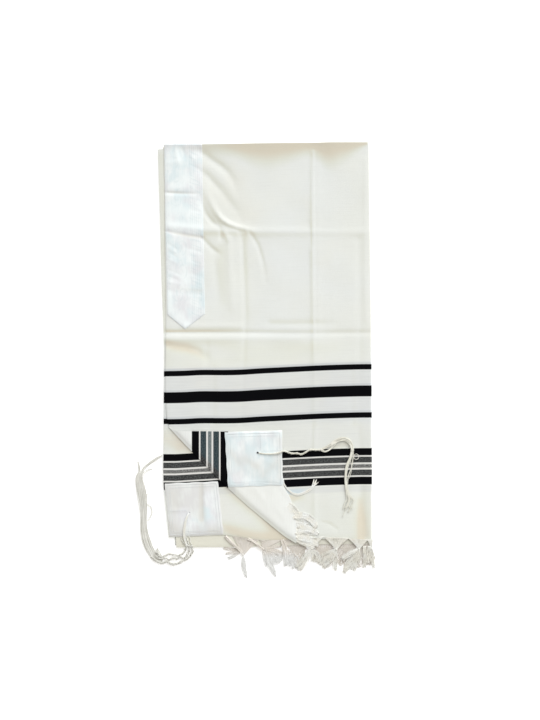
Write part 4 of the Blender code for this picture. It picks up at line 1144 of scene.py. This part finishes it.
SECOND_LOCKS = (
    (5, 1.25, 0, ((-96, -424, 5.4, 2.4), (-85, -436, 5, 2.3), (-71, -449, 4.4, 2.1), (-62, -458, 3.8, 2),
     (-56, -468, 3.2, 1.8))),
    (25, 0.59, 0.22, ((-56, -470, 3.2, 1.6), (-54.8, -486, 2.4, 5), (-52, -504, 1.6, 4.6),
     (-48.8, -519, 1.2, 1.4))),
    (13, 0.59, 0.12, ((-60, -458, 3.4, 1.6), (-74, -461, 2.4, 2.2), (-98, -464.5, 1.4, 2.6))),
    (15, 0.59, 0.15, ((-64, -461, 2.8, 1.6), (-80, -470, 1.6, 3), (-92, -476.5, 1.2, 3.2))),
    (5, 1.2, 0, ((-46, -430, 5.2, 2), (-32, -438, 5, 2.1), (-21, -447, 4.6, 2), (-11.5, -454.5, 4, 1.8))),
    (15, 0.59, 0.18, ((-12, -456, 3.6, 1.6), (-8, -473, 2.6, 3.2), (-4, -494, 1.4, 2.4))),
    (27, 0.59, 0.18, ((-6, -460, 3.6, 2.6), (2, -482, 2.8, 6.4), (9, -498, 2, 5), (17, -517, 1.2, 1.8))),
    (26, 0.53, 0.06, ((-10, -455, 4, 2), (10, -456, 3.4, 3.6), (28, -466, 2.6, 5), (22, -480, 2, 5.6),
     (2, -482, 1.6, 5))),
    (24, 0.53, 0.1, ((-6, -456, 4, 2), (8, -466, 3, 5), (20, -474, 2.2, 5.6))),
    (36, 0.5, 0.02, ((10, -433, 4, 25), (10, -442, 3.8, 25), (12, -450, 3.2, 22))),
    (20, 0.5, 0.05, ((-8, -452, 4, 1.6), (10, -449, 3.6, 2.4), (28, -447, 3.4, 2))),
    (6, 1.35, 0.03, ((30, -432, 5.4, 3), (35.5, -449, 5, 3.4), (37, -468, 3.6, 4.2),
     (37.8, -492, 2, 3.8))),
    (30, 0.56, 0.12, ((52, -462, 3.6, 6), (56, -480, 2.6, 11), (60, -499, 1.6, 8))),
    (17, 0.56, 0.1, ((42, -455, 3.6, 3), (44, -474, 2.6, 5), (48, -492, 1.6, 4))),
)
LOWER_WEBS = (
    (66, 28, 60, -468, 60), (122, 30, 124, -469, 64), (178, 28, 176, -468, 60), (216, 14, 216, -468, 34),
)
LOWER_LOCKS = (
    (44, 0.6, 0.14, ((68, -450, 2.4, 17), (66, -470, 2, 16), (62, -494, 1.2, 11))),
    (50, 0.6, 0.14, ((124, -450, 2.4, 22), (122, -468, 2, 22), (118, -486, 1.2, 16))),
    (50, 0.6, 0.14, ((176, -450, 2.4, 22), (172, -470, 2, 22), (166, -494, 1.2, 16))),
    (34, 0.6, 0.14, ((218, -450, 2.4, 12), (217, -470, 2, 13), (217, -491, 1.2, 10))),
    (22, 0.6, 0.12, ((124, -469, 2.6, 3), (128, -482, 2, 9), (134, -495, 1.2, 10))),
    (22, 0.6, 0.12, ((184, -466, 2.6, 3), (194, -482, 2, 8), (198, -498, 1.2, 8))),
    (10, 0.7, 0.1, ((-100, -450.5, 2.4, 3), (-82, -453, 2.4, 3.6), (-66, -457, 2.4, 2.4))),
)


def hem_fringe(name, replaced, webs, locks, line, root_z, knot_z, floor, material, middle):
    """The fringe of one hem: webs of threads from the hem to the knots, and locks below them. A
    web is a fan that closes from its half width at the hem to a thread's width at its knot. It
    starts level with the cloth, along the slope of the hem, and falls by 0.16 of the way out."""
    threads, knots = Threads(16), Threads(40)

    def level(x, y):
        """How low threads of a web may lie: 0.7 under the cloth's middle, less 0.16 of the way out."""
        edge = line(x)
        return middle(x, edge) - 0.7 - 0.16 * np.maximum(0.0, edge - y)

    for x, half, kx, ky, count in webs:
        hem, knot = (x, float(line(x)) + 1.5, root_z), (kx, ky, knot_z)
        way = [mix(a, b, 0.45) for a, b in zip(hem, knot)]
        rows = ((*hem, half), (way[0], way[1], way[2] + 0.4, half * 0.52), (*knot, 1.6))
        slope = float(line(x + half) - line(x - half)) / (2 * half)
        lock(threads, rows, count, 0.55, 0.0, 0.03, 0.15, level, (1.0, slope))
        knot_windings(knots, knot, (0.2, -1.0))
    for count, thick, ragged, rows in locks:
        lock(threads, rows, count, thick, ragged, 0.3, 0.6, floor)
    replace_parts(threads.piece(name, material), replaced)
    knots.piece(name + "_knots", material, 6)


hem_fringe("fringe_front_threads", "fringe_front", FRONT_WEBS, FRONT_LOCKS,
           lambda x: flow(FRONT_HEM, x), 7.3, 6.6, under_front, fringe_thread,
           lambda x, y: FRONT_Z + front_relief(x, y))
hem_fringe("fringe_second_threads", "fringe_second", SECOND_WEBS, SECOND_LOCKS,
           lambda x: on(SECOND_HEM, x), 4.4, 3.6, ground, shaded_second_thread,
           lambda x, y: SECOND_Z + second_relief(x, y))
hem_fringe("fringe_lower_threads", "fringe_lower", LOWER_WEBS, LOWER_LOCKS,
           lambda x: on(THIRD_HEM, x), 2.8, 2.4, ground, lower_thread, lambda x, y: 2.5)


TURNED_LOCKS = (
    (44, 0.5, 0.25, ((46, -376, 8.9, 10), (72, -388, 8.3, 15), (98, -398, 8.1, 12))),
    (44, 0.5, 0.25, ((50, -404, 8.9, 10), (78, -412, 8.3, 14), (106, -418, 8.1, 11))),
    (36, 0.5, 0.25, ((54, -424, 8.9, 7), (82, -432, 8.1, 10), (106, -440, 7, 10))),
    (18, 0.5, 0.08, ((31.7, -296, 8.7, 1), (34.4, -308.6, 8.7, 1.2), (43.3, -320.8, 8.7, 1.4),
     (54.4, -329.4, 8.7, 1.6), (65.5, -332, 8.7, 1.9), (78.8, -327.6, 8.7, 2.2), (92, -320.8, 8.7, 2.4),
     (100, -312, 8.9, 2.6))),
    (6, 0.5, 0.25, ((94, -319, 8.9, 1.4), (102, -309, 9.1, 1.6), (107, -298, 9.1, 0.6))),
    (5, 0.5, 0.25, ((92, -321, 8.9, 1.2), (100, -313, 9.1, 1.4), (112, -304, 9.1, 0.5))),
    (4, 0.5, 0.25, ((94, -318, 8.9, 1.2), (99, -308, 9.1, 1.2), (101, -296, 9.1, 0.4))),
    (34, 0.56, 0.05, ((49, -385, 9, 3), (63.3, -381, 9, 4.6), (76.6, -379.4, 9.1, 5.8),
     (90, -383.5, 9.1, 6.4), (101, -394.5, 8.9, 5.8), (106.5, -407, 8.5, 3))),
    (28, 0.56, 0.08, ((46, -394, 9, 4), (61, -398.5, 9, 5.2), (74.4, -402, 9, 5), (90, -407, 8.8, 4.4),
     (101, -413, 8.7, 2.4))),
    (32, 0.56, 0.05, ((53, -419.6, 9, 3.4), (67.7, -414, 9, 4.6), (83.3, -409.5, 9.1, 5.6),
     (98.8, -412.5, 9, 5.2), (112, -421, 8.7, 3.4))),
    (28, 0.56, 0.08, ((55, -426, 9, 3), (72, -428.5, 9, 4.8), (87.7, -432, 8.5, 5.4),
     (101, -438.5, 7.5, 5.2), (112, -446, 7.4, 3))),
    (19, 0.56, 0.1, ((57, -431, 8.5, 2.4), (76.6, -440, 7.5, 4), (92, -446, 7.4, 4.2),
     (103, -452, 6.8, 3))),
    (18, 0.6, 0.2, ((42, -356, 9, 8), (54, -366, 8.8, 8), (66, -376, 8.5, 4))),
)


def turned_fringe():
    """The fringe of the turned corner, lying on the front layer: a rope of threads from the corner
    of the hem, and curled locks to the right."""
    threads, knots = Threads(24), Threads(40)
    for count, thick, ragged, rows in TURNED_LOCKS:
        lock(threads, rows, count, thick, ragged, 0.22, 0.4, on_front)
    for x, y, slope in ((59.5, -384, 0.1), (61, -418, 0.4), (63, -427, -0.1)):
        knot_windings(knots, (x, y, 9.9), (1.0, slope), 0.7)
    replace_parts(threads.piece("fringe_turned_threads", lit_thread), "fringe_turned")
    knots.piece("fringe_turned_knots", lit_thread, 6)


turned_fringe()


# ---- corner tassels
def frames(path):
    """Two directions square to a path, level and upright."""
    way = unit(np.gradient(path, axis=0))
    return beside(way), np.cross(beside(way), way)


def sway(reach, low, high, count):
    """A slow sine of the length run for each of some threads, each with its own pace and start."""
    return np.sin(reach * chance.uniform(low, high, (count, 1)) + chance.uniform(0, 6, (count, 1)))


def twisted(path, threads, wide, twist, looseness=0.3):
    """Threads twisted round a path: each stays at its own distance and turns with the length."""
    side, up = frames(path)
    reach = reach_of(path)
    angle = np.arange(threads)[:, None] / threads * 2 * math.pi + twist * reach
    angle = angle + looseness * sway(reach, 0.05, 0.16, threads)
    size = wide * (1 + looseness * 0.5 * sway(reach, 0.04, 0.2, threads))
    return (path + (size * np.cos(angle))[..., None] * side
            + (size * np.sin(angle) * 0.75)[..., None] * up)


def wound(path, wide, pitch, lumps):
    """One thread wound round the cord: a coil whose pitch and width swell at each lump."""
    dense = along(path, even(COIL_POINTS))
    side, up = frames(dense)
    reach = reach_of(dense)
    angle = 2 * math.pi * reach / pitch + 0.9 * np.sin(reach * 0.21)
    size = np.full(len(reach), wide)
    for place in lumps:
        size = size + 0.9 * np.exp(-((reach - place * reach[-1]) / 2.6) ** 2)
    return (dense + (size * np.cos(angle))[:, None] * side
            + (size * 0.85 * np.sin(angle))[:, None] * up)[None]


COIL_POINTS = 700
# Cords as (x, y, z), free threads as (x, y, z, half width).
CORD_FRONT = (
    (-22, -238.9, 9.6), (-21, -239, 12), (-13, -240.5, 12.8), (3, -241.4, 13.5), (22, -239.4, 13.8),
    (33, -235, 13.6), (43, -237.4, 12.2), (52, -240.4, 11.6), (64, -240.2, 11.5), (73, -242.4, 11.5),
    (82, -238, 11.6), (93, -232.4, 11.5), (106, -232.6, 11.5), (118, -232, 11.5),
)
CORD_OPEN = (
    ((116, -232, 11.4, 1.2), (125, -228, 11.4, 1.6), (138, -221, 11.4, 2), (150, -213, 11.4, 2.6)),
    ((116, -233, 11.2, 1.2), (126, -236, 11.2, 1.4), (137, -231, 11.2, 1.6), (148, -217, 11.2, 2.4)),
)
ARCH_FRONT = (
    (138, -220, 11.2, 2), (152, -212, 11.2, 3), (166, -208.5, 11.2, 3.4), (177, -212, 11.2, 3.4),
    (184, -222, 11.2, 2.8), (187, -236, 11.2, 2.2),
)
FREE_FRONT = (
    (4, ((185, -224, 11, 1.8), (183, -247, 10.8, 1.7), (175, -268, 10.6, 1.9), (171.5, -288, 10.6, 1.5),
     (171.5, -308, 10.6, 1.4), (174, -328, 10.4, 1.6), (177, -343, 10.2, 3.4), (172, -356, 10, 4.6),
     (167, -371, 10, 4))),
    (2, ((188, -228, 11, 0.8), (187.5, -250, 10.8, 0.9), (184, -272, 10.6, 0.9), (177, -292, 10.6, 0.9),
     (175, -314, 10.6, 0.9), (180, -332, 10.4, 0.9), (189, -344, 10.2, 1), (184, -356, 10, 1.2),
     (191, -368, 10, 1.4))),
    (1, ((184, -226, 11, 0.6), (180, -246, 10.8, 0.6), (171, -268, 10.6, 0.6), (168.5, -290, 10.6, 0.6),
     (169, -310, 10.6, 0.6), (172, -328, 10.4, 0.6), (178, -340, 10.2, 0.6), (168, -352, 10, 0.6),
     (170, -364, 10, 0.6), (163, -383, 10, 0.6))),
    (1, ((187, -232, 11, 0.5), (182, -254, 10.8, 0.5), (184, -274, 10.8, 0.5), (179, -298, 10.6, 0.5))),
    (2, ((176, -330, 10.6, 0.8), (183, -342, 10.4, 1.2), (176, -352, 10.2, 1.2), (182, -362, 10, 1.4),
     (176, -372, 10, 1.4))),
)
LOOP_FRONT = (
    (190, -244, 10.2), (195, -241.5, 10.4), (199.5, -245, 10.2), (199.5, -251, 10.2), (194, -254, 10.2),
    (189.5, -250.5, 10.2), (190.5, -244, 10.4),
)
ROOTS_BACK = (
    (2, ((-196, -424, 3.6), (-192, -434, 5.2), (-184, -444, 6.6), (-180, -450, 6.4))),
    (2, ((-184, -424, 4), (-180, -434, 5.6), (-176, -444, 6.8), (-172, -450, 6.4))),
    (1, ((-176, -424, 4), (-174, -434, 5.6), (-171, -442, 6.8), (-168, -450, 5.8))),
)
LEAD_BACK = (
    (-175.6, -372.3, 7.4, 0.5), (-178, -376, 8.6, 1), (-183, -388, 8.8, 1.7), (-186, -404, 8.8, 1.9),
    (-187, -424, 8.6, 1.9), (-184, -436, 8.2, 1.7), (-180, -447, 7.4, 1.4),
)
UPPER_BACK = (
    (-178, -444, 7), (-184, -451, 5.6), (-187, -460, 4.6), (-194, -465, 4), (-202, -468, 3.6),
    (-211, -466, 3.6), (-222, -464, 3.6), (-230, -468, 3.6), (-238, -471, 3.6), (-250, -459, 3.6),
)
LOWER_BACK = (
    (-176, -444, 7), (-176, -455, 5.6), (-181, -467, 4.4), (-190, -474, 3.8), (-197, -470, 3.6),
    (-204, -475, 3.6), (-212, -473, 3.6), (-221, -477, 3.6), (-230, -473, 3.6), (-240, -475, 3.6),
    (-250, -470, 3.6),
)
OUTER_BACK = (
    (-172, -445, 7), (-168, -454, 5), (-171, -464, 3.8), (-180, -474, 3.4), (-190, -479, 3.2),
    (-201, -485, 3), (-211, -487, 3), (-219, -485, 3), (-226, -481, 3), (-236, -484.5, 3),
    (-248, -480, 3), (-262, -470, 3),
)
FREE_BACK = (
    (-236, -480, 1.2, 5), (-250, -472, 1.2, 7.6), (-262, -456, 1.2, 8.6), (-271, -434, 1.2, 8.8),
    (-276, -410, 1.2, 7.4), (-277, -388, 1.2, 6.6), (-278, -364, 1.2, 7.4), (-280.5, -338, 1.2, 9),
    (-284.5, -312, 1.2, 8.6), (-287, -294, 1.2, 6.6), (-284, -282, 1.2, 4.2),
)
ENDS_BACK = (
    (5, ((-283, -290, 1.4, 2.4), (-278, -276, 1.4, 2.6), (-266, -264, 1.4, 2.8), (-250, -253, 1.4, 2.2),
     (-236, -245, 1.4, 0.6))),
    (3, ((-287, -296, 1.4, 1.8), (-286.5, -282, 1.4, 1.6), (-288, -268, 1.4, 1.2),
     (-290, -257, 1.4, 0.5))),
    (2, ((-281, -296, 1.4, 1.4), (-276, -284, 1.4, 1.4), (-266, -277, 1.4, 1), (-256, -275, 1.2, 0.5))),
    (2, ((-274, -352, 1.6, 1.2), (-263, -358, 1.6, 0.8), (-259, -372, 1.4, 0.8), (-264, -384, 1.4, 0.9),
     (-270, -394, 1.6, 1.2))),
    (1, ((-272, -334, 1.6, 0.4), (-263, -327, 1.4, 0.4), (-259, -319, 1.2, 0.4))),
    (3, ((-238, -470, 1.8, 1.4), (-244, -460, 1.8, 2), (-250, -450, 1.6, 2.6))),
)


def corner_tassel_front():
    """The tassel of the turned corner: a double thread through the hole, the wound part, and the
    free threads that bend down across the striped band."""
    coils, ends = Threads(COIL_POINTS), Threads(60)
    coils.add(wound(CORD_FRONT[3:], 1.35, 3.1, (0.15, 0.36, 0.42, 0.52, 0.6, 0.69, 0.8, 0.88, 0.96)), 0.8)
    ends.add(twisted(along(CORD_FRONT, even(60)), 4, 0.9, 0.35, 0.6), 0.75)
    for rows in CORD_OPEN:
        lock(ends, rows, 3, 0.95, 0.0, 0.5, 0.5)
    lock(ends, ARCH_FRONT, 6, 0.9, 0.0, 0.35, 0.6)
    for count, rows in FREE_FRONT:
        lock(ends, rows, count, 0.8 if count > 2 else 0.62, 0.08, 0.5, 0.5, on_front)
    ends.add(along(LOOP_FRONT, even(60))[None], 0.65)
    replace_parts(ends.piece("tzitzit_front_threads", tassel_thread), "tzitzit_front")
    coils.piece("tzitzit_front_winding", tassel_thread)


def corner_tassel_back():
    """The tassel of the other corner: threads from the hole and from behind the patch, a loosely
    wound part in three strands, and free threads that bend along the floor."""
    coils, ends, lead = Threads(260), Threads(60), Threads(60)
    lock(lead, LEAD_BACK, 5, 0.6, 0.0, 0.1, 0.3)
    for threads, rows in ROOTS_BACK:
        ends.add(twisted(along(rows, even(60)), threads, 0.7, 0.4), 0.9)
    for rows, threads, wide, lumps in ((UPPER_BACK, 4, 1.5, (0.1, 0.3, 0.5, 0.72, 0.95)),
                                       (LOWER_BACK, 4, 1.5, (0.2, 0.4, 0.6, 0.8)),
                                       (OUTER_BACK, 5, 2.0, (0.3, 0.75, 0.97))):
        ends.add(twisted(along(rows, even(60)), threads, wide, 0.24, 0.7), 0.95)
        coils.add(wound(rows, wide + 0.6, 9.5, lumps), 0.75)
    lock(ends, FREE_BACK, 26, 0.85, 0.0, 0.16, 0.9, ground)
    for count, rows in ENDS_BACK:
        lock(ends, rows, count, 0.7 if count < 3 else 1.0, 0.1, 0.3, 0.4, ground)
    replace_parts(ends.piece("tzitzit_back_threads", shaded_thread), "tzitzit_back")
    coils.piece("tzitzit_back_winding", shaded_thread)
    lead.piece("tzitzit_back_lead", lit_thread)


corner_tassel_front()
corner_tassel_back()


# ---- floor, light and camera
def floor():
    """A wide pale floor just under the cloth."""
    grids = Grids()
    far = 30000.0
    points = join(even(3, -far, far), even(3, far, -far)[:, None], -0.1)
    grids.sew(grids.put(points), np.zeros((3, 3, 2)))
    paint = Paint("pale_floor", Roughness=0.9, Specular_IOR_Level=0.0)
    paint.set("Base Color", (0.96, 0.96, 0.96))
    paint.set("Emission Color", (1.0, 1.0, 1.0))
    paint.set("Emission Strength", 0.35)
    made = grids.piece("floor", paint.material)


floor()


def sun(name, way, strength, angle, colour):
    """A broad soft light that comes from a direction."""
    light = bpy.data.lights.new(name, "SUN")
    light.energy, light.angle, light.color = strength, math.radians(angle), colour
    made = bpy.data.objects.new(name, light)
    made.rotation_euler = Vector(way).to_track_quat("Z", "Y").to_euler()
    bpy.context.scene.collection.objects.link(made)


sun("key", (0.45, 0.9, 0.62), 2.9, 50.0, (0.97, 1.0, 1.01))
world = bpy.data.worlds.new("soft room")
world.use_nodes = True
room = world.node_tree.nodes["Background"].inputs
room["Color"].default_value, room["Strength"].default_value = (1.0, 0.975, 0.93, 1.0), 0.585
bpy.context.scene.world = world
bpy.context.scene.view_settings.view_transform = "Standard"

LENS, SENSOR, FRAME_HIGH = 85.0, 36.0, 1.598
AIM_X, AIM_Y, AIM_Z = 0.0033, -0.0333, 0.008
camera = bpy.data.cameras.new("camera")
camera.lens, camera.sensor_width = LENS, SENSOR
camera.clip_end = 50.0
seen = bpy.data.objects.new("camera", camera)
seen.location = (AIM_X, AIM_Y, AIM_Z + FRAME_HIGH * LENS / SENSOR)
bpy.context.scene.collection.objects.link(seen)
bpy.context.scene.camera = seen
